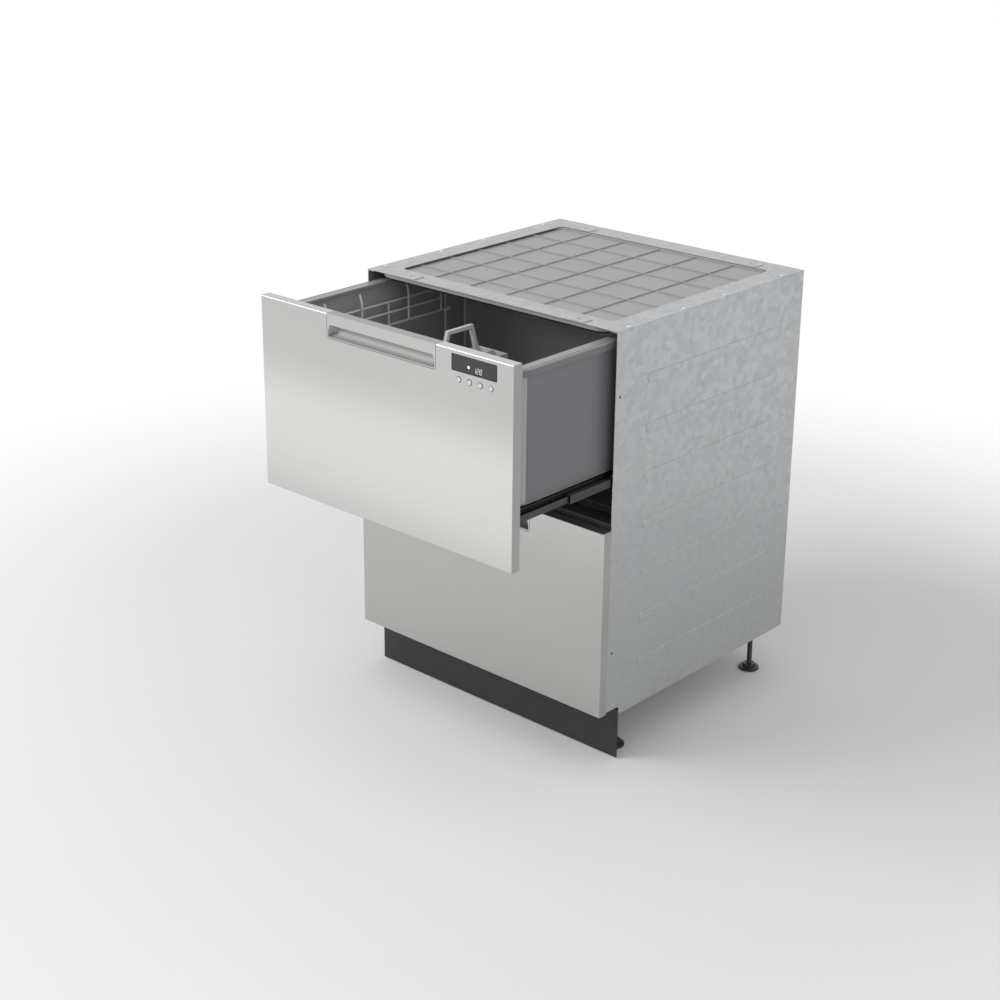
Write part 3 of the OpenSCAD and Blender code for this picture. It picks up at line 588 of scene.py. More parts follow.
def smooth(piece, angle=40):
    """Smooth shading that stops at real edges and leaves large faces flat."""
    hold(piece)
    bpy.ops.object.shade_smooth_by_angle(angle=math.radians(angle))
    return apply_modifier(piece, "WEIGHTED_NORMAL", keep_sharp=True)


def soften(piece, width, segments=2):
    apply_modifier(
        piece, "BEVEL", width=width * MM, segments=segments, limit_method="ANGLE",
        angle_limit=math.radians(SHARP),
    )
    return smooth(piece)


def softened_copy(node, width, segments=2):
    piece = bpy.data.objects.new(node + "_soft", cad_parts[node].data.copy())
    bpy.context.collection.objects.link(piece)
    piece.data.materials.clear()
    edit_all(piece)
    bpy.ops.mesh.remove_doubles(threshold=DOUBLE * MM)
    bpy.ops.mesh.dissolve_limited(angle_limit=math.radians(FLAT))
    deselect()
    return soften(piece, width, segments)


print("edges over", SHARP, "degrees are bevelled")

# %% [markdown]
# ### Handing a piece to the frame
# A finished piece says which body carries it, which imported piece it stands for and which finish
# it has. The two drawers hold the same pieces, so a piece is made for the upper drawer and a copy
# of it goes to the place of the lower one.

# %% Fitting out, and pieces for both drawers
def fit_out(piece, name, body, slot, *nodes, finish=None):
    """Names a finished piece, gives it a finish if it has none, and hands it to the frame."""
    piece.name = name
    if not piece.data.materials:
        piece.data.materials.append(finish or FINISHES[slot])
    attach(piece, body)
    if nodes:
        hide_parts(*nodes)
    print(name, "has", len(piece.data.polygons), "faces and rides on", body)


def paint_faces(piece, slots, choose):
    """Gives a piece several finishes. choose takes a face and says which of them it has."""
    for slot in slots:
        piece.data.materials.append(FINISHES[slot])
    for face in piece.data.polygons:
        face.material_index = int(choose(face))


def repeat(piece, shift):
    twin = bpy.data.objects.new(piece.name + "_twin", piece.data.copy())
    bpy.context.collection.objects.link(twin)
    twin.location = shift
    return settle(twin)


def for_both_drawers(piece, part, body, slot, name=None):
    """Fits the piece out for the upper drawer, and a copy of it for the lower one."""
    twin = repeat(piece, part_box("lower_" + part)[0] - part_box("upper_" + part)[0])
    for level, made in (("upper_", piece), ("lower_", twin)):
        fit_out(made, level + (name or part + "_finished"), level + body, slot, level + part)


def record_slot(material_slot):
    return material_slot.material.name.split(".")[0]


print("a piece for both drawers is made once, and its copy is shifted down")

# %% Places in the drawer and in the chassis
front_low, front_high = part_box("upper_front_skin")
DRAWER = Vector((0, front_low.y, front_high.z))


def at(x, y, z):
    """A place in the upper drawer, in millimetres from the middle of the front's top edge."""
    return DRAWER + Vector((x, y, z)) * MM


def home(x, y, z):
    """A place in the chassis, in millimetres from the plane of the closed fronts and the floor."""
    return Vector((x * MM, CLOSED_FRONT_Y + y * MM, z * MM))


def in_drawer(node):
    """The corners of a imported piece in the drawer's millimetres."""
    return [(corner - DRAWER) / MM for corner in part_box(node)]


print("upper drawer origin:", [round(v / MM, 1) for v in DRAWER])

# %% [markdown]
# ## The fronts
# ### The steel pan
# Each front is one sheet of steel, folded into a shallow pan that is open at the back. The fold
# has a radius, which shows as a bright line down each side. A cube has the pan's outline. Its
# front edges are rounded, its back face is deleted, and Solidify gives the sheet its millimetre.

# %% Steel pans with their notch
SKIN = 1.0
FOLD_RADIUS = 2.2
SEAM = 0.9
NOTCH_CORNER = 2.5
PAN_EDGE = 0.12
handle_low, handle_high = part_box("upper_handle")


def steel_pan(node):
    low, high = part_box(node)
    pan = block(low, high)
    round_edges(pan, FOLD_RADIUS, lambda middle, along: near(middle.y, low.y), 5)
    pick(pan, lambda middle, normal: normal.y > 0.9, "FACE")
    bpy.ops.mesh.delete(type="FACE")
    apply_modifier(pan, "SOLIDIFY", thickness=SKIN * MM, offset=-1, use_even_offset=True)
    seam = SEAM * MM
    notch = block(
        (handle_low.x - seam, low.y - MM, high.z + (handle_low - DRAWER).z - seam),
        (handle_high.x + seam, high.y + MM, high.z + 5 * MM),
    )
    round_edges(notch, NOTCH_CORNER, lambda middle, along: abs(along.y) > 0.9 and middle.z < high.z)
    return carve(pan, notch)


upper_pan = steel_pan("upper_front_skin")
print("upper pan:", len(upper_pan.data.polygons), "faces")

# %% Holes for the display and the buttons
BUTTONS = [f"button_{number}" for number in (1, 2, 3, 4)]
BUTTON_HOLE = 5.5
HOLE_CORNER = 2.3
window_low, window_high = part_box("display_window")
grow = Vector((SEAM, 2, SEAM)) * MM
display_hole = block(window_low - grow, window_high + grow)
round_edges(display_hole, HOLE_CORNER, edges_along(Y))
carve(upper_pan, display_hole)


def face_of(button):
    """The middle of a button in the plane of the front."""
    low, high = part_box(button)
    middle = (low + high) / 2
    return Vector((middle.x, front_low.y, middle.z))


for button in BUTTONS:
    face = face_of(button)
    carve(upper_pan, rod(face - Vector((0, 5, 0)) * MM, face + Vector((0, 3, 0)) * MM, BUTTON_HOLE, 48))
print("holes for", len(BUTTONS), "buttons")

# %% Finish of the pans
# The folded sides take the darker satin steel, as painted shade on the sides.
fold_from = front_high.x - 0.3 * MM
lower_pan = steel_pan("lower_front_skin")
for level, pan in (("upper", upper_pan), ("lower", lower_pan)):
    soften(pan, PAN_EDGE)
    paint_faces(pan, ("brushed_front", "shaded_satin"), lambda face: abs(face.center.x) > fold_from)
    fit_out(pan, level + "_front", level + "_drawer", "brushed_front", level + "_front_skin")

# %% [markdown]
# ### The pull handle
# The handle is a separate insert: a lip flush with the front, and a finger space behind and below
# it whose bottom curves forward to meet the front again. The insert is a block, and the finger
# space is two cutters with rounded edges, one below the lip and one behind it. Its ends slant, so
# that they catch the light.

# %% Insert and finger space
LIP_HEIGHT = 19.5
LIP_DEPTH = 4.0
GRIP_DEPTH = 15.2
GRIP_BOTTOM = 41.4
GRIP_TOP = 3.5
END_WALL = 2.0
END_SLANT = 13.0
HANDLE_DEPTH = 16.7
half = (handle_high - handle_low).x / 2 / MM
bottom = (handle_low - DRAWER).z / MM
tab_end = (front_high - front_low).y / MM
grip = half - END_WALL
scoop_back = at(0, GRIP_DEPTH, 0).y
scoop_bottom = at(0, 0, -GRIP_BOTTOM).z
space_top = at(0, 0, -GRIP_TOP).z

handle = block(at(-half, 0, bottom), at(half, HANDLE_DEPTH, 0))
weld(handle, block(at(-half, HANDLE_DEPTH - 2, -1), at(half, tab_end, 0)))
scoop = block(at(-grip, -6, -GRIP_BOTTOM), at(grip, GRIP_DEPTH, -LIP_HEIGHT))
round_edges(
    scoop, GRIP_DEPTH,
    lambda middle, along: near(middle.y, scoop_back) and near(middle.z, scoop_bottom), 14,
)
round_edges(scoop, 3, lambda middle, along: abs(along.y) > 0.9 and middle.z < scoop_bottom + MM, 5)
behind = block(at(-grip, LIP_DEPTH, -LIP_HEIGHT - 3), at(grip, GRIP_DEPTH, -GRIP_TOP))
round_edges(behind, 5, lambda middle, along: abs(along.x) > 0.9 and middle.z > space_top - MM, 6)
for space in (scoop, behind):
    pick(space, lambda middle, along: middle.y > at(0, 0.7 * GRIP_DEPTH, 0).y)
    bpy.ops.transform.resize(value=(1 - END_SLANT / grip, 1, 1), center_override=at(0, 0, 0))
    deselect()
carve(handle, scoop, behind)
print("finger space:", round(2 * grip), "mm wide,", GRIP_DEPTH, "mm deep")

# %% Edges and finish of the handles
# The flat face of the insert is brushed like the front. Its finger space is a darker satin steel, partly
# its own satin finish and partly painted shade of the recess.
lip_bottom = at(0, 0, -LIP_HEIGHT).z
lip_back = at(0, LIP_DEPTH + 1, 0).y
round_edges(
    handle, 1.6,
    lambda middle, along: abs(along.x) > 0.9 and near(middle.z, lip_bottom) and middle.y < lip_back, 5,
)
soften(handle, 0.35, 3)
face_y = at(0, 0.1, 0).y
paint_faces(handle, ("shaded_satin", "brushed_front"), lambda face: face.center.y < face_y)
for_both_drawers(handle, "handle", "drawer", "brushed_front", "pull_handle")

# %% [markdown]
# ### Display window
# The display is dark glass with a slightly darker frame printed round it. One round light and
# three plain digits, made of straight segments like those of any clock, shine through it. Here
# they stand a few hundredths of a millimetre proud of the glass, so that they are seen.

# %% Glass and printed frame
FRAME_WIDTH = 1.8
FRAME_INSET = 0.4
PRINT_LIFT = 0.06
window_0, window_1 = in_drawer("display_window")
window_z = (window_0.z + window_1.z) / 2

glass = block(window_low, window_high)
round_edges(glass, 2, edges_along(Y))
soften(glass, 0.4, 3)
fit_out(glass, "display_glass_pane", "upper_drawer", "display_glass", "display_window")


def printed_field(inset, lift, corner):
    """A thin field in the plane of the glass, some way inside the window's edge."""
    low = at(window_0.x + inset, -lift, window_0.z + inset)
    high = at(window_1.x - inset, lift, window_1.z - inset)
    return round_edges(block(low, high), corner, edges_along(Y))


border = printed_field(FRAME_INSET, PRINT_LIFT, 1.8)
carve(border, printed_field(FRAME_WIDTH, 3 * PRINT_LIFT, 1.2))
fit_out(border, "display_border", "upper_drawer", "black_plastic")
print("display:", [round(v) for v in window_1 - window_0], "mm")

# %% Digits and light
DIGIT_HEIGHT = 8.4
DIGIT_WIDTH = 4.2
DIGIT_STROKE = 0.65
DIGIT_SLANT = 0.09
DIGIT_GAP = 0.35
DIGIT_X = 216.5
DIGIT_Z = window_z - 5
DIGIT_STEP = 6.4
LIGHT_X = 203
LIGHT_Z = window_z - 2.5
LIGHT_RADIUS = 2.6
w, h = DIGIT_WIDTH / 2, DIGIT_HEIGHT / 2
# Segments by number: top, upper right, lower right, bottom, lower left, upper left, middle.
# Each is its middle in the digit and whether it lies flat.
PLACES = [(0, h, True), (w, h / 2, False), (w, -h / 2, False), (0, -h, True),
          (-w, -h / 2, False), (-w, h / 2, False), (0, 0, True)]
SEGMENTS = {"1": (1, 2), "2": (0, 1, 6, 4, 3), "8": (0, 1, 2, 3, 4, 5, 6)}


def segment(number, x, z):
    across, up, flat = PLACES[number]
    half_long = (w if flat else h / 2) - DIGIT_GAP
    half_x, half_z = (half_long, DIGIT_STROKE / 2) if flat else (DIGIT_STROKE / 2, half_long)
    x += across + up * DIGIT_SLANT
    z += up
    bar = block(at(x - half_x, -PRINT_LIFT, z - half_z), at(x + half_x, PRINT_LIFT, z + half_z))
    return round_edges(bar, 0.3, edges_along(Y), 2)


bars = [segment(number, DIGIT_X + place * DIGIT_STEP, DIGIT_Z)
        for place, figure in enumerate("128") for number in SEGMENTS[figure]]
fit_out(joined(bars), "display_digits", "upper_drawer", "display_glass", finish=display_light)

bead = [(0, -PRINT_LIFT), (LIGHT_RADIUS, -PRINT_LIFT), (0.96 * LIGHT_RADIUS, 1.4 * PRINT_LIFT),
        (0, 1.6 * PRINT_LIFT)]
light = turned(bead, at(LIGHT_X, 0, LIGHT_Z), (0, -1, 0), 32)
fit_out(light, "display_dot", "upper_drawer", "display_glass", finish=display_light)

# %% [markdown]
# ### Push buttons
# Each button is a turned metal cap in a hole of the steel. It stands less than a millimetre
# proud, its edge is rounded, and its face is a little dished inside a fine ring. The cap's rounded
# edge is black, as painted shadow of the gap round it. A collar stops it from falling out, and a
# stem reaches the switch.

# %% Push buttons
CAP = 4.8
CAP_FACE = 4.35
button_low, button_high = in_drawer("button_1")
PROUD = -button_low.y
REACH = button_high.y
half_section = [
    (0, PROUD - 0.30), (2.8, PROUD - 0.18), (3.3, PROUD - 0.10), (3.5, PROUD - 0.32),
    (3.7, PROUD - 0.02), (4.0, PROUD), (4.45, PROUD - 0.08), (4.7, PROUD - 0.28),
    (CAP, PROUD - 0.6), (CAP, -1.3), (CAP + 1.6, -1.35), (CAP + 1.6, -2.45), (2.0, -2.5),
    (2.0, -REACH + 0.4), (1.6, -REACH), (0, -REACH),
]


def beyond_cap(middle):
    """A test for the faces painted black: the cap's rounded edge, as painted shadow of the gap, and the
    collar and the stem.
    """
    def test(face):
        away = math.hypot(face.center.x - middle.x, face.center.z - middle.z)
        return face.center.y > middle.y or away > CAP_FACE * MM
    return test


for button in BUTTONS:
    cap = turned(half_section, face_of(button), (0, -1, 0), 48)
    smooth(cap, 35)
    paint_faces(cap, ("button_metal", "black_plastic"), beyond_cap(face_of(button)))
    fit_out(cap, button + "_cap", button, "button_metal", button)

# %% [markdown]
# ### Liners behind the fronts
# A moulded liner closes the back of each pan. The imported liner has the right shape, so a softened
# copy stands for it.

# %% Liners
for level in ("upper", "lower"):
    liner = softened_copy(level + "_front_liner", 0.6)
    fit_out(liner, level + "_liner", level + "_drawer", "tub_plastic", level + "_front_liner")

# %% [markdown]
# ## The tub
# The tub is one moulding: a deep tray with round corners and a filleted floor, a flat rim with a
# skirt hanging from its outer edge, and a round sump. It is built as a solid from two rounded
# blocks and a disc and then hollowed with smaller ones, so every wall keeps its real thickness. A
# groove in the rim catches drips, and short ribs under the rim stiffen the skirt.

# %% Tub sizes
tub_low, tub_high = in_drawer("upper_tub")
RIM_OUT = 6.0
WALL = 3.5
FLOOR_WALL = 4.0
RIM_THICK = 4.0
SKIRT = 14.0
SKIRT_WALL = 3.0
RIM_IN = 16.0
CORNER = 40.0
SUMP = 95.0
DRAIN = 8.0
rim_z = -22.0
under_z = -262.0
floor_z = under_z + FLOOR_WALL
sump_under_z = tub_low.z
sump_z = sump_under_z + FLOOR_WALL
wall_x = tub_high.x - RIM_OUT
wall_y0 = 24.0
wall_y1 = tub_high.y - RIM_OUT
mid_y = (wall_y0 + wall_y1) / 2


def tray(grow, y0, y1, z0, z1):
    """A block with round corners that stands so far outside the tub's side walls, or inside."""
    half_x = wall_x + grow
    return block(at(-half_x, y0, z0), at(half_x, y1, z1), CORNER + grow, 10)


def disc(radius, z0, z1, sides=96):
    return rod(at(0, mid_y, z0), at(0, mid_y, z1), radius, sides)


def flat_at(z):
    """A test for edges that lie flat at a height of the drawer."""
    return lambda middle, along: near(middle.z, at(0, 0, z).z, 0.3 * MM) and abs(along.z) < 0.1


print("tub walls:", round(2 * wall_x), "by", round(wall_y1 - wall_y0), "mm")

# %% Mould the tub
tub = tray(0, wall_y0, wall_y1, under_z, rim_z - 1)
round_edges(tub, 9, flat_at(under_z), 6)
rim = tray(RIM_OUT, tub_low.y, tub_high.y, rim_z - SKIRT, rim_z)
round_edges(rim, 2.4, flat_at(rim_z), 5)
carve(rim, tray(RIM_OUT - SKIRT_WALL, tub_low.y + SKIRT_WALL, tub_high.y - SKIRT_WALL,
                rim_z - SKIRT - 2, rim_z - RIM_THICK))
weld(tub, rim, round_edges(disc(SUMP + WALL, sump_under_z, under_z + 2), 4, flat_at(sump_under_z)))
print("tub faces when solid:", len(tub.data.polygons))

# %% Hollow the tub
cavity = tray(-WALL, wall_y0 + WALL, wall_y1 - WALL, floor_z, rim_z - RIM_THICK)
round_edges(cavity, 10, flat_at(floor_z), 7)
mouth = tray(-RIM_IN, wall_y0 + RIM_IN, wall_y1 - RIM_IN, rim_z - 8, rim_z + 2)
sump_space = round_edges(disc(SUMP, sump_z, floor_z + 3), 4, flat_at(sump_z))
weld(cavity, mouth, sump_space, disc(DRAIN, sump_under_z - 2, sump_z + 2, 32))
drip_groove = tray(2.5, wall_y0 - 1, wall_y1 + 2.5, rim_z - 1, rim_z + 2)
carve(drip_groove, tray(0.7, wall_y0 + 1, wall_y1 + 0.7, rim_z - 3, rim_z + 4))
carve(tub, cavity, drip_groove)
print("tub faces when hollow:", len(tub.data.polygons))

# %% [markdown]
# ### Ribs and colours of the tub
# The top faces of the rim are paler than the walls below it. The inside walls are lighter than the
# outside ones, which is painted light, and the water keeps the inside smooth. Each face takes its
# finish from where it lies.

# %% Ribs and colours of the tub
RIB_PITCH = 64
RIB_COUNT = 7
ribs = []
for side in (-1, 1):
    for count in range(RIB_COUNT):
        y = mid_y + (count - RIB_COUNT // 2) * RIB_PITCH
        x0, x1 = sorted((side * (wall_x - 0.5), side * (wall_x + 2.6)))
        ribs.append(block(at(x0, y - 1, rim_z - SKIRT + 1.5), at(x1, y + 1, rim_z - RIM_THICK + 0.5)))
weld(tub, *ribs)
smooth(tub)
rim_top = at(0, 0, rim_z - 2.6).z
inner_low = at(0.5 - wall_x, wall_y0 + 0.5, floor_z - 0.5)
inner_high = at(wall_x - 0.5, wall_y1 - 0.5, 0)


def tub_finish(face):
    place = face.center
    if place.z > rim_top:
        return 1
    inside = all(inner_low[axis] < place[axis] < inner_high[axis] for axis in (X, Y, Z))
    return 2 if inside else 0


# The inside faces take the lighter plastic, as painted light on the inner walls.
paint_faces(tub, ("tub_plastic", "rim_plastic", "tub_inside_painted_light"), tub_finish)
for_both_drawers(tub, "tub", "drawer", "tub_plastic", "wash_tub")

# %% [markdown]
# ## Racks of coated wire
# A rack is steel wire, bent and welded, and then dipped in nylon. The coating makes every
# end a dome and every crossing a soft joint. Each wire is a line of points whose corners are
# rounded, turned into a curve with a thickness and then into a mesh.

# %% Bending wire
def wire(points, radius, bend=0, sides=12, closed=False):
    """A round wire through places in the drawer, with bent corners and closed ends."""
    piece = chain([at(*point) for point in points], closed)
    if bend:
        edit_all(piece)
        if not closed:
            go_to("OBJECT")
            piece.data.vertices[0].select = False
            piece.data.vertices[-1].select = False
            go_to("EDIT")
        bpy.ops.mesh.bevel(offset=bend * MM, segments=5, affect="VERTICES")
    hold(piece)
    bpy.ops.object.convert(target="CURVE")
    curve = bpy.context.object
    curve.data.bevel_depth = radius * MM
    curve.data.bevel_resolution = max(1, sides // 4 - 1)
    curve.data.use_fill_caps = True
    bpy.ops.object.convert(target="MESH")
    return merge(settle(bpy.context.object), 0.002)


def domed_rod(x, y, start_z, tip_z, radius):
    """An upright rod whose tip is a dome, pointing up or down."""
    length = abs(tip_z - start_z)
    profile = [(0, 0), (radius, 0), (radius, length - radius)]
    profile += [(radius * math.cos(turn), length - radius + radius * math.sin(turn))
                for turn in (math.pi / 8, math.pi / 4, 3 * math.pi / 8)]
    profile += [(0, length)]
    up = 1 if tip_z > start_z else -1
    return turned(profile, at(x, y, start_z), (0, 0, up), 12)


print("a bent corner has 5 segments, and a dome has 4")

# %% Rack sizes
rack_low, rack_high = in_drawer("upper_base_rack")
FRAME_WIRE = 2.5
FLOOR_WIRE = 2.0
RAIL_WIRE = 2.2
TINE_WIRE = 1.8
LEG_WIRE = 3.0
RACK_X = rack_high.x - LEG_WIRE
RACK_Y0 = rack_low.y + FRAME_WIRE
RACK_Y1 = rack_high.y - FRAME_WIRE
RACK_Z = -213.4
RAIL_Z = rack_high.z - RAIL_WIRE
RAIL_INSET = 20.0
LENGTHWISE_Z = RACK_Z - FRAME_WIRE - FLOOR_WIRE
CROSS_Z = LENGTHWISE_Z + 2 * FLOOR_WIRE
TINE_TOP = RACK_Z + 75
LEG_INSET = 30.0
ROW_COUNT = 8
ROW_FIRST = RACK_Y0 + 105
ROW_PITCH = (RACK_Y1 - 40 - ROW_FIRST) / (ROW_COUNT - 1)
TINE_ROWS = [ROW_FIRST + count * ROW_PITCH for count in range(ROW_COUNT)]
TINE_XS = (62, 120, 178)
LENGTHWISE_XS = (-200, -135, -70, -5, 72, 137, 202)
UPRIGHT_YS = (RACK_Y0 + 75, mid_y, RACK_Y1 - 75)
print("rack:", round(2 * RACK_X), "by", round(RACK_Y1 - RACK_Y0), "mm")

# %% Frame, rails and floor of the base rack
frame_corners = [(-RACK_X, RACK_Y0, RACK_Z), (RACK_X, RACK_Y0, RACK_Z),
                 (RACK_X, RACK_Y1, RACK_Z), (-RACK_X, RACK_Y1, RACK_Z)]
wires = [wire(frame_corners, FRAME_WIRE, 14, closed=True)]
for x in (-RACK_X, RACK_X):
    rail_y0, rail_y1 = RACK_Y0 + RAIL_INSET, RACK_Y1 - RAIL_INSET
    rail = [(x, rail_y0, RACK_Z), (x, rail_y0, RAIL_Z), (x, rail_y1, RAIL_Z), (x, rail_y1, RACK_Z)]
    wires.append(wire(rail, RAIL_WIRE, 12))
    for y in UPRIGHT_YS:
        wires.append(wire([(x, y, RACK_Z), (x, y, RAIL_Z)], FLOOR_WIRE))
for x in LENGTHWISE_XS:
    ends = [(x, RACK_Y0 - 1.5, LENGTHWISE_Z), (x, RACK_Y1 + 1.5, LENGTHWISE_Z)]
    wires.append(wire(ends, FLOOR_WIRE))
for y in [RACK_Y0 + 50] + TINE_ROWS:
    wires.append(wire([(-RACK_X + 1, y, CROSS_Z), (RACK_X - 1, y, CROSS_Z)], FLOOR_WIRE))
print("wires of the base rack:", len(wires))

# %% Tines, legs and collars of the base rack
PIVOT_X = -249.5
PIVOT_Z = -104.0
COLLAR_BORE = 2.6
COLLAR = 5.0
collar = [(COLLAR_BORE, -3), (COLLAR - 0.4, -3), (COLLAR, -2.6), (COLLAR, 2.6), (COLLAR - 0.4, 3),
          (COLLAR_BORE, 3), (COLLAR_BORE, -3)]
for y in TINE_ROWS:
    for x in TINE_XS:
        wires.append(domed_rod(x, y, CROSS_Z, TINE_TOP, TINE_WIRE))
for x in (-RACK_X, RACK_X):
    for y in (RACK_Y0 + LEG_INSET, RACK_Y1 - LEG_INSET):
        wires.append(domed_rod(x, y, RACK_Z, rack_low.z, LEG_WIRE))
for y in (UPRIGHT_YS[0], UPRIGHT_YS[2]):
    wires.append(turned(collar, at(PIVOT_X, y, PIVOT_Z), (0, 1, 0), 32))
for_both_drawers(smooth(joined(wires)), "base_rack", "drawer", "coated_wire")

# %% [markdown]
# ### Cup rack
# The cup rack turns on a rod that runs through two collars of the base rack. Its arms end in a
# bend, which keeps what lies on it from rolling out when it is folded up.

# %% Cup rack
ARM_WIRE = 2.1
ARM_YS = (RACK_Y0 + 66, RACK_Y0 + 154, RACK_Y1 - 182, RACK_Y1 - 94)
ARM_LENGTH = 72.0
BEND_LENGTH = 18.0
LEAN = 6.0
arm_top = PIVOT_Z + ARM_LENGTH
bar_z = PIVOT_Z + ARM_LENGTH / 3
hinge_rod = [(PIVOT_X, ARM_YS[0] - 6, PIVOT_Z), (PIVOT_X, UPRIGHT_YS[2] + 8, PIVOT_Z)]
wires = [wire(hinge_rod, FRAME_WIRE)]
for y in ARM_YS:
    arm = [(PIVOT_X, y, PIVOT_Z), (PIVOT_X, y, arm_top - BEND_LENGTH), (PIVOT_X - LEAN, y, arm_top)]
    wires.append(wire(arm, ARM_WIRE, 5, 16))
wires.append(wire([(PIVOT_X, ARM_YS[0], bar_z), (PIVOT_X, ARM_YS[3], bar_z)], ARM_WIRE))
for_both_drawers(smooth(joined(wires)), "cup_rack", "cup_rack", "coated_wire")

# %% [markdown]
# ## Moulded parts in the tub
# The cutlery basket, the dispenser, its door and the filters have their true shape in the packed
# model. Softened copies give them the small radius of a moulding.

# %% Basket, dispenser and filters
for part, body, slot, width in (
    ("cutlery_basket", "drawer", "pale_plastic", 0.7),
    ("dispenser", "drawer", "pale_plastic", 0.9),
    ("dispenser_door", "dispenser_door", "grey_plastic", 0.5),
    ("filter_plate", "drawer", "filter_plastic", 0.35),
    ("drain_filter", "drawer", "grey_plastic", 0.4),
    ("rotor", "rotor", "pale_plastic", 0.4),
):
    for_both_drawers(softened_copy("upper_" + part, width), part, body, slot)

# %% [markdown]
# ### Spray arm
# The arm is widest at its hub and narrows to round tips. A long block is cut in the middle and
# widened there, discs make its tips and its hub. Nozzle slots are sunk in its top, beside its
# middle line, and the thrust of their jets turns the arm.

# %% Arm and hub
HUB = 26.0
TIP = 14.0
PIN = 8.3
PIN_DEPTH = 14.3
arm_low, arm_high = in_drawer("upper_spray_arm")
wing_z0, wing_z1 = arm_low.z + 4, arm_low.z + 13
tip_x = (arm_high.x - arm_low.x) / 2 - TIP
arm = block(at(-tip_x, mid_y - TIP, wing_z0), at(tip_x, mid_y + TIP, wing_z1))
pick(arm, edges_along(X))
bpy.ops.mesh.subdivide(number_cuts=1)
pick(arm, lambda middle, along: abs(middle.x) < MM)
bpy.ops.transform.resize(value=(1, (HUB - 2) / TIP, 1), center_override=at(0, mid_y, wing_z0))
deselect()
for x in (-tip_x, tip_x):
    weld(arm, rod(at(x, mid_y, wing_z0), at(x, mid_y, wing_z1), TIP, 48))
weld(arm, disc(HUB, arm_low.z, arm_high.z, 64))
carve(arm, disc(PIN, arm_low.z - 2, arm_low.z + PIN_DEPTH, 40))
soften(arm, 1.6, 4)
print("spray arm reach:", round(tip_x + TIP, 1), "mm")

# %% Nozzles
NOZZLES = 5
NOZZLE_FROM = 35
nozzle_pitch = (tip_x + TIP - 60) / NOZZLES
for side in (-1, 1):
    for count in range(1, NOZZLES + 1):
        x = side * (NOZZLE_FROM + count * nozzle_pitch)
        y = mid_y + side * (count % 2) * 6
        nozzle = block(at(x - 5, y - 1.5, wing_z1 - 3), at(x + 5, y + 1.5, wing_z1 + 1), 1.2, 4)
        carve(arm, nozzle)
smooth(arm)
for_both_drawers(arm, "spray_arm", "spray_arm", "pale_plastic")

# %% [markdown]
# ### Wash motor
# The motor hangs under the sump. Grooves round its case let the heat out, a flange holds it with
# screws, and a box on its side takes the plug.

# %% Motor case
MOTOR = 60.0
FLANGE = 76.0
FLANGE_THICK = 4.0
GROOVES = 6
GROOVE_PITCH = 5.2
SHAFT = 4.3
motor_z0, motor_z1 = (corner.z for corner in in_drawer("upper_motor"))
flange_z = motor_z1 - FLANGE_THICK
case = [(0, motor_z0), (MOTOR - 6, motor_z0), (MOTOR - 1.5, motor_z0 + 2), (MOTOR, motor_z0 + 6)]
for groove in range(GROOVES):
    z = motor_z0 + 10 + groove * GROOVE_PITCH
    case += [(MOTOR, z), (MOTOR - 2, z + 0.5), (MOTOR - 2, z + 2.1), (MOTOR, z + 2.6)]
case += [(MOTOR, flange_z), (FLANGE - 0.6, flange_z), (FLANGE, flange_z + 0.6),
         (FLANGE, motor_z1 - 0.6), (FLANGE - 0.6, motor_z1), (0, motor_z1)]
motor = turned(case, at(0, mid_y, 0), (0, 0, 1), 96)
plug_box = block(at(MOTOR - 8, mid_y - 20, motor_z1 - 34), at(MOTOR + 18, mid_y + 20, motor_z1 - 8), 3, 4)
round_edges(plug_box, 1.2, lambda middle, along: abs(along.z) < 0.1, 3)
weld(motor, plug_box)
plug_space = block(at(MOTOR + 10, mid_y - 15, motor_z1 - 29), at(MOTOR + 19, mid_y + 15, motor_z1 - 13))
carve(motor, plug_space, disc(SHAFT, motor_z0 + 8, motor_z1 + 2, 32))
print("motor:", round(2 * MOTOR), "mm across")

# %% Contacts and flange screws
CONTACT_PITCH = 8
SCREW_COUNT = 6
SCREW_CIRCLE = 68.5
screw_head = [(0, 0), (4, 0), (4, 1.6), (3.4, 2.4), (0, 2.6)]
parts = [motor]
for contact in (-1, 0, 1):
    y = mid_y + contact * CONTACT_PITCH
    parts.append(block(at(MOTOR + 9.5, y - 2, motor_z1 - 21.5), at(MOTOR + 16, y + 2, motor_z1 - 20.5)))
for count in range(SCREW_COUNT):
    turn = math.radians(360 / SCREW_COUNT * count + 30)
    x, y = SCREW_CIRCLE * math.cos(turn), mid_y + SCREW_CIRCLE * math.sin(turn)
    parts.append(turned(screw_head, at(x, y, flange_z), (0, 0, -1), 6))
for_both_drawers(smooth(joined(parts), 35), "motor", "drawer", "motor_case")

# %% [markdown]
# ## Lids and runners
# A lid waits over each tub in the chassis and drops a few millimetres to close it. It is a shallow
# tray with crossed ribs, so that it stays flat, with four pins at its sides and a guide rod under
# the end of each pin.

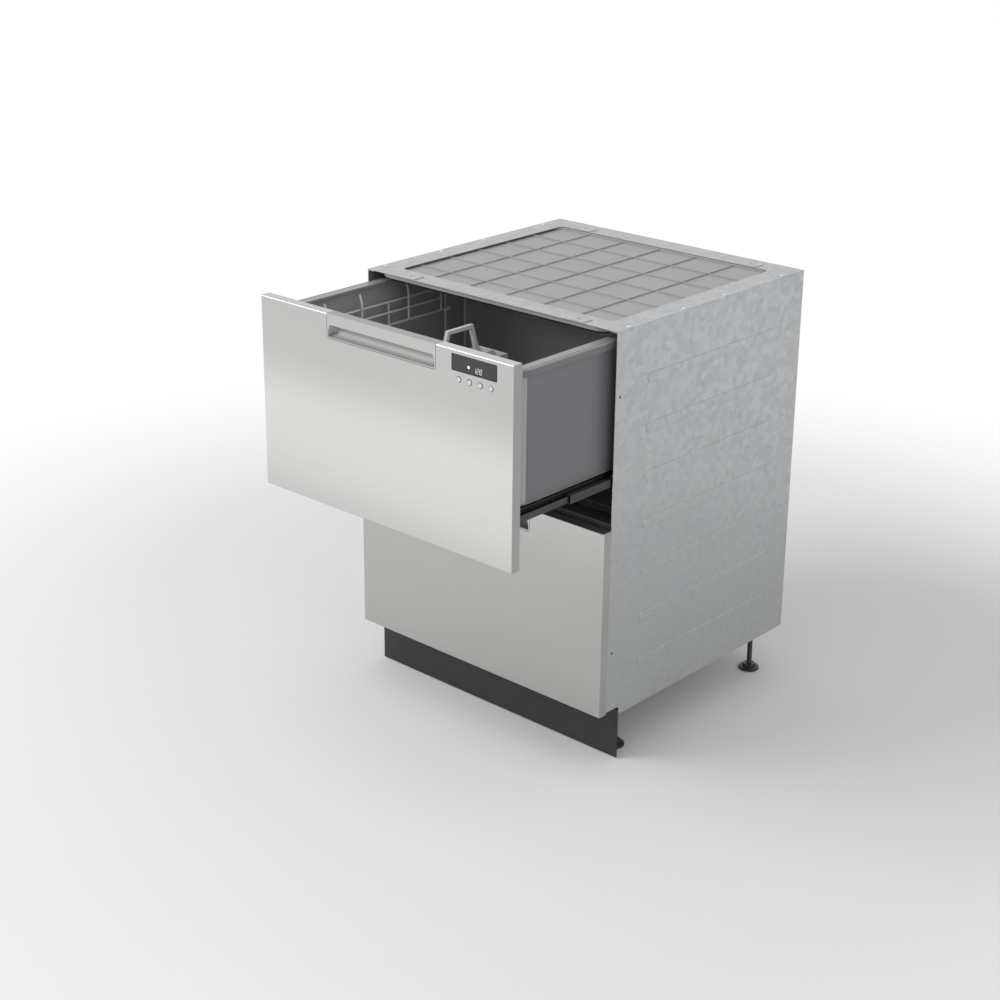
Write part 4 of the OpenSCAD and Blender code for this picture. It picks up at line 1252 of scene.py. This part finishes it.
# %% Lid tray
LID_X = 276
LID_Y0, LID_Y1 = 24, 534
LID_Z0, LID_Z1 = 809, 815
LID_CORNER = 34
LID_WALL = 14
LID_RIB_XS = (-175, -87, 0, 87, 175)
LID_RIB_YS = (118, 199, 279, 359, 440)
tray_x = LID_X - LID_WALL
tray_y0, tray_y1 = LID_Y0 + LID_WALL, LID_Y1 - LID_WALL
rib_z0, rib_z1 = LID_Z1 - 4, LID_Z1 - 0.6
lid = block(home(-LID_X, LID_Y0, LID_Z0), home(LID_X, LID_Y1, LID_Z1), LID_CORNER, 10)
round_edges(lid, 1.6, lambda middle, along: near(middle.z, LID_Z1 * MM), 4)
carve(lid, block(home(-tray_x, tray_y0, LID_Z1 - 3), home(tray_x, tray_y1, LID_Z1 + 2),
                 LID_CORNER - LID_WALL))
ribs = [block(home(x - 1, tray_y0 - 1, rib_z0), home(x + 1, tray_y1 + 1, rib_z1)) for x in LID_RIB_XS]
ribs += [block(home(-tray_x - 1, y - 1, rib_z0), home(tray_x + 1, y + 1, rib_z1)) for y in LID_RIB_YS]
weld(lid, *ribs)
soften(lid, 0.3)
print("lid ribs:", len(ribs))

# %% Pins, guide rods and seals of the lids
LIFTER_YS = (120, 440)
PIN_Z = 810.5
PIN_X0, PIN_X1 = 274, 292.9
GUIDE_X = 290.3
GUIDE_Z0, GUIDE_Z1 = 786.5, 807.6
parts = [lid]
for side in (-1, 1):
    for y in LIFTER_YS:
        parts.append(rod(home(side * PIN_X0, y, PIN_Z), home(side * PIN_X1, y, PIN_Z), 2.8))
        parts.append(rod(home(side * GUIDE_X, y, GUIDE_Z0), home(side * GUIDE_X, y, GUIDE_Z1), 2, 20))
for_both_drawers(smooth(joined(parts)), "lid", "lid", "lid_plastic")
for_both_drawers(softened_copy("upper_lid_seal", 1.4, 3), "lid_seal", "lid", "seal_rubber")

# %% [markdown]
# ### Runners
# A full-extension runner has three members that slide in each other. They are drawn steel with
# broken edges, and the imported members have their true shape.

# %% Runners of the drawers
# The runner steel is near black, as painted shade under the tubs.
for part, body in (("mid_runners", "mid_runners"), ("moving_runners", "drawer")):
    for_both_drawers(softened_copy("upper_" + part, 0.3), part, body, "runner_steel")

# %% [markdown]
# ## The chassis
# ### Sheet metal
# Folded sheet has a broken edge of a few tenths of a millimetre. The side panels have long pressed
# ribs that stiffen them, and the back panel has two shallow pressed fields.

# %% Sheet parts and small parts of the chassis
SHEET_EDGE = 0.3
CHASSIS_EDGES = {
    "top_frame": SHEET_EDGE, "base_tray": SHEET_EDGE, "mid_rail": SHEET_EDGE, "kickplate": 0.5,
    "fixing_brackets": SHEET_EDGE, "fixed_runners": SHEET_EDGE, "lid_lifters": 0.4,
    "inlet_valve": 0.8, "drain_outlet": 0.8, "power_inlet": 1.0,
}
for node, width in CHASSIS_EDGES.items():
    slot = record_slot(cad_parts[node].material_slots[0])
    fit_out(softened_copy(node, width), node + "_soft", "chassis", slot, node)

# %% Side panels
PANEL_FACE = 297.5
RIB_RISE = 1.2
RIB_YS = (110, 500)
RIB_HALF = 9
RIB_ZS = (175, 265, 355, 445, 535, 625, 715)


def pressed_rib(side, z):
    face = side * (PANEL_FACE + RIB_RISE)
    x0, x1 = sorted((side * (PANEL_FACE - 0.6), face))
    rib = block(home(x0, RIB_YS[0], z - RIB_HALF), home(x1, RIB_YS[1], z + RIB_HALF))
    round_edges(rib, RIB_HALF - 1, edges_along(X), 6)
    return round_edges(rib, 0.9, lambda middle, along: near(middle.x, face * MM), 4)


for side, node in ((-1, "side_panel_left"), (1, "side_panel_right")):
    panel = softened_copy(node, SHEET_EDGE)
    weld(panel, *[pressed_rib(side, z) for z in RIB_ZS])
    smooth(panel)
    fit_out(panel, node + "_pressed", "chassis", "zinc_sheet", node)

# %% Back panel
FIELD_X = 250
FIELD_Y = 572.4
FIELD_CORNER = 18
back = softened_copy("back_panel", SHEET_EDGE)
fields = []
for z0, z1 in ((215, 420), (460, 660)):
    field = block(home(-FIELD_X, FIELD_Y, z0), home(FIELD_X, FIELD_Y + 2.6, z1))
    fields.append(round_edges(field, FIELD_CORNER, edges_along(Y), 6))
carve(back, *fields)
smooth(back)
fit_out(back, "back_panel_pressed", "chassis", "zinc_sheet", "back_panel")

# %% [markdown]
# ### Screws and feet
# A screw head is turned, and a cross is sunk in it. A foot has a round pad, a hexagon for the
# spanner and a stem with a thread, drawn as rings because its lead can't be seen. One screw and
# one foot are modelled, and the others are copies.

# %% Screws
SCREW_X = 289.5
SCREW_YS = (62, 214, 334, 513)
SCREW_SEAT = 817
CROSS_LONG = 2.1
CROSS_WIDE = 0.45


def screw_place(x, y, z):
    """A place in the first screw, in millimetres from the middle of its seat."""
    return home(x - SCREW_X, y + SCREW_YS[0], z + SCREW_SEAT)


screw_head = [(0, 0), (4, 0), (4, 0.5), (3.6, 1.1), (2.6, 1.6), (1.2, 1.8), (0, 1.8)]
screw = turned(screw_head, screw_place(0, 0, 0), (0, 0, 1), 32)
for x, y in ((CROSS_LONG, CROSS_WIDE), (CROSS_WIDE, CROSS_LONG)):
    carve(screw, block(screw_place(-x, -y, 0.8), screw_place(x, y, 3)))
screw = joined([screw, rod(screw_place(0, 0, -6), screw_place(0, 0, 0), 2, 16)])
shifts = [(x, y - SCREW_YS[0], 0) for x in (0, 2 * SCREW_X) for y in SCREW_YS]
screws = [screw] + [repeat(screw, Vector(shift) * MM) for shift in shifts[1:]]
heads = smooth(joined(screws), 35)
fit_out(heads, "chassis_screw_heads", "chassis", "bright_screws", "chassis_screws")

# %% Feet
THREAD_PITCH = 2.0
foot_low, foot_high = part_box("foot_front_left")
foot_middle = (foot_low + foot_high) / 2
foot_place = Vector((foot_middle.x, foot_middle.y, 0))
stem_top = foot_high.z / MM
pad = [(0, 0), (18.6, 0), (20, 1.2), (20, 4.4), (19, 5.4), (15, 6), (0, 6)]
stem = [(0, 11), (4.2, 11)]
z = 13.0
while z < stem_top - 4:
    stem += [(5, z + 0.6), (5, z + 1.0), (4.2, z + 1.6)]
    z += THREAD_PITCH
stem += [(4.4, stem_top - 0.6), (3.8, stem_top), (0, stem_top)]
hexagon = rod(foot_place + Vector((0, 0, 5)) * MM, foot_place + Vector((0, 0, 12)) * MM, 13, 6)
soften(hexagon, 0.6)
foot = joined([
    turned(pad, foot_place, (0, 0, 1), 64),
    hexagon,
    turned(stem, foot_place, (0, 0, 1), 24),
])
smooth(foot, 35)
for node in ("foot_front_right", "foot_rear_left", "foot_rear_right"):
    fit_out(repeat(foot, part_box(node)[0] - foot_low), node + "_turned", node, "black_plastic", node)
fit_out(foot, "foot_front_left_turned", "foot_front_left", "black_plastic", "foot_front_left")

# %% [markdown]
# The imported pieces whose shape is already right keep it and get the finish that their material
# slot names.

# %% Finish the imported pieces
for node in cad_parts.values():
    for slot in node.material_slots:
        slot.material = FINISHES[record_slot(slot)]
print("packed pieces with a finish:", len(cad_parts))
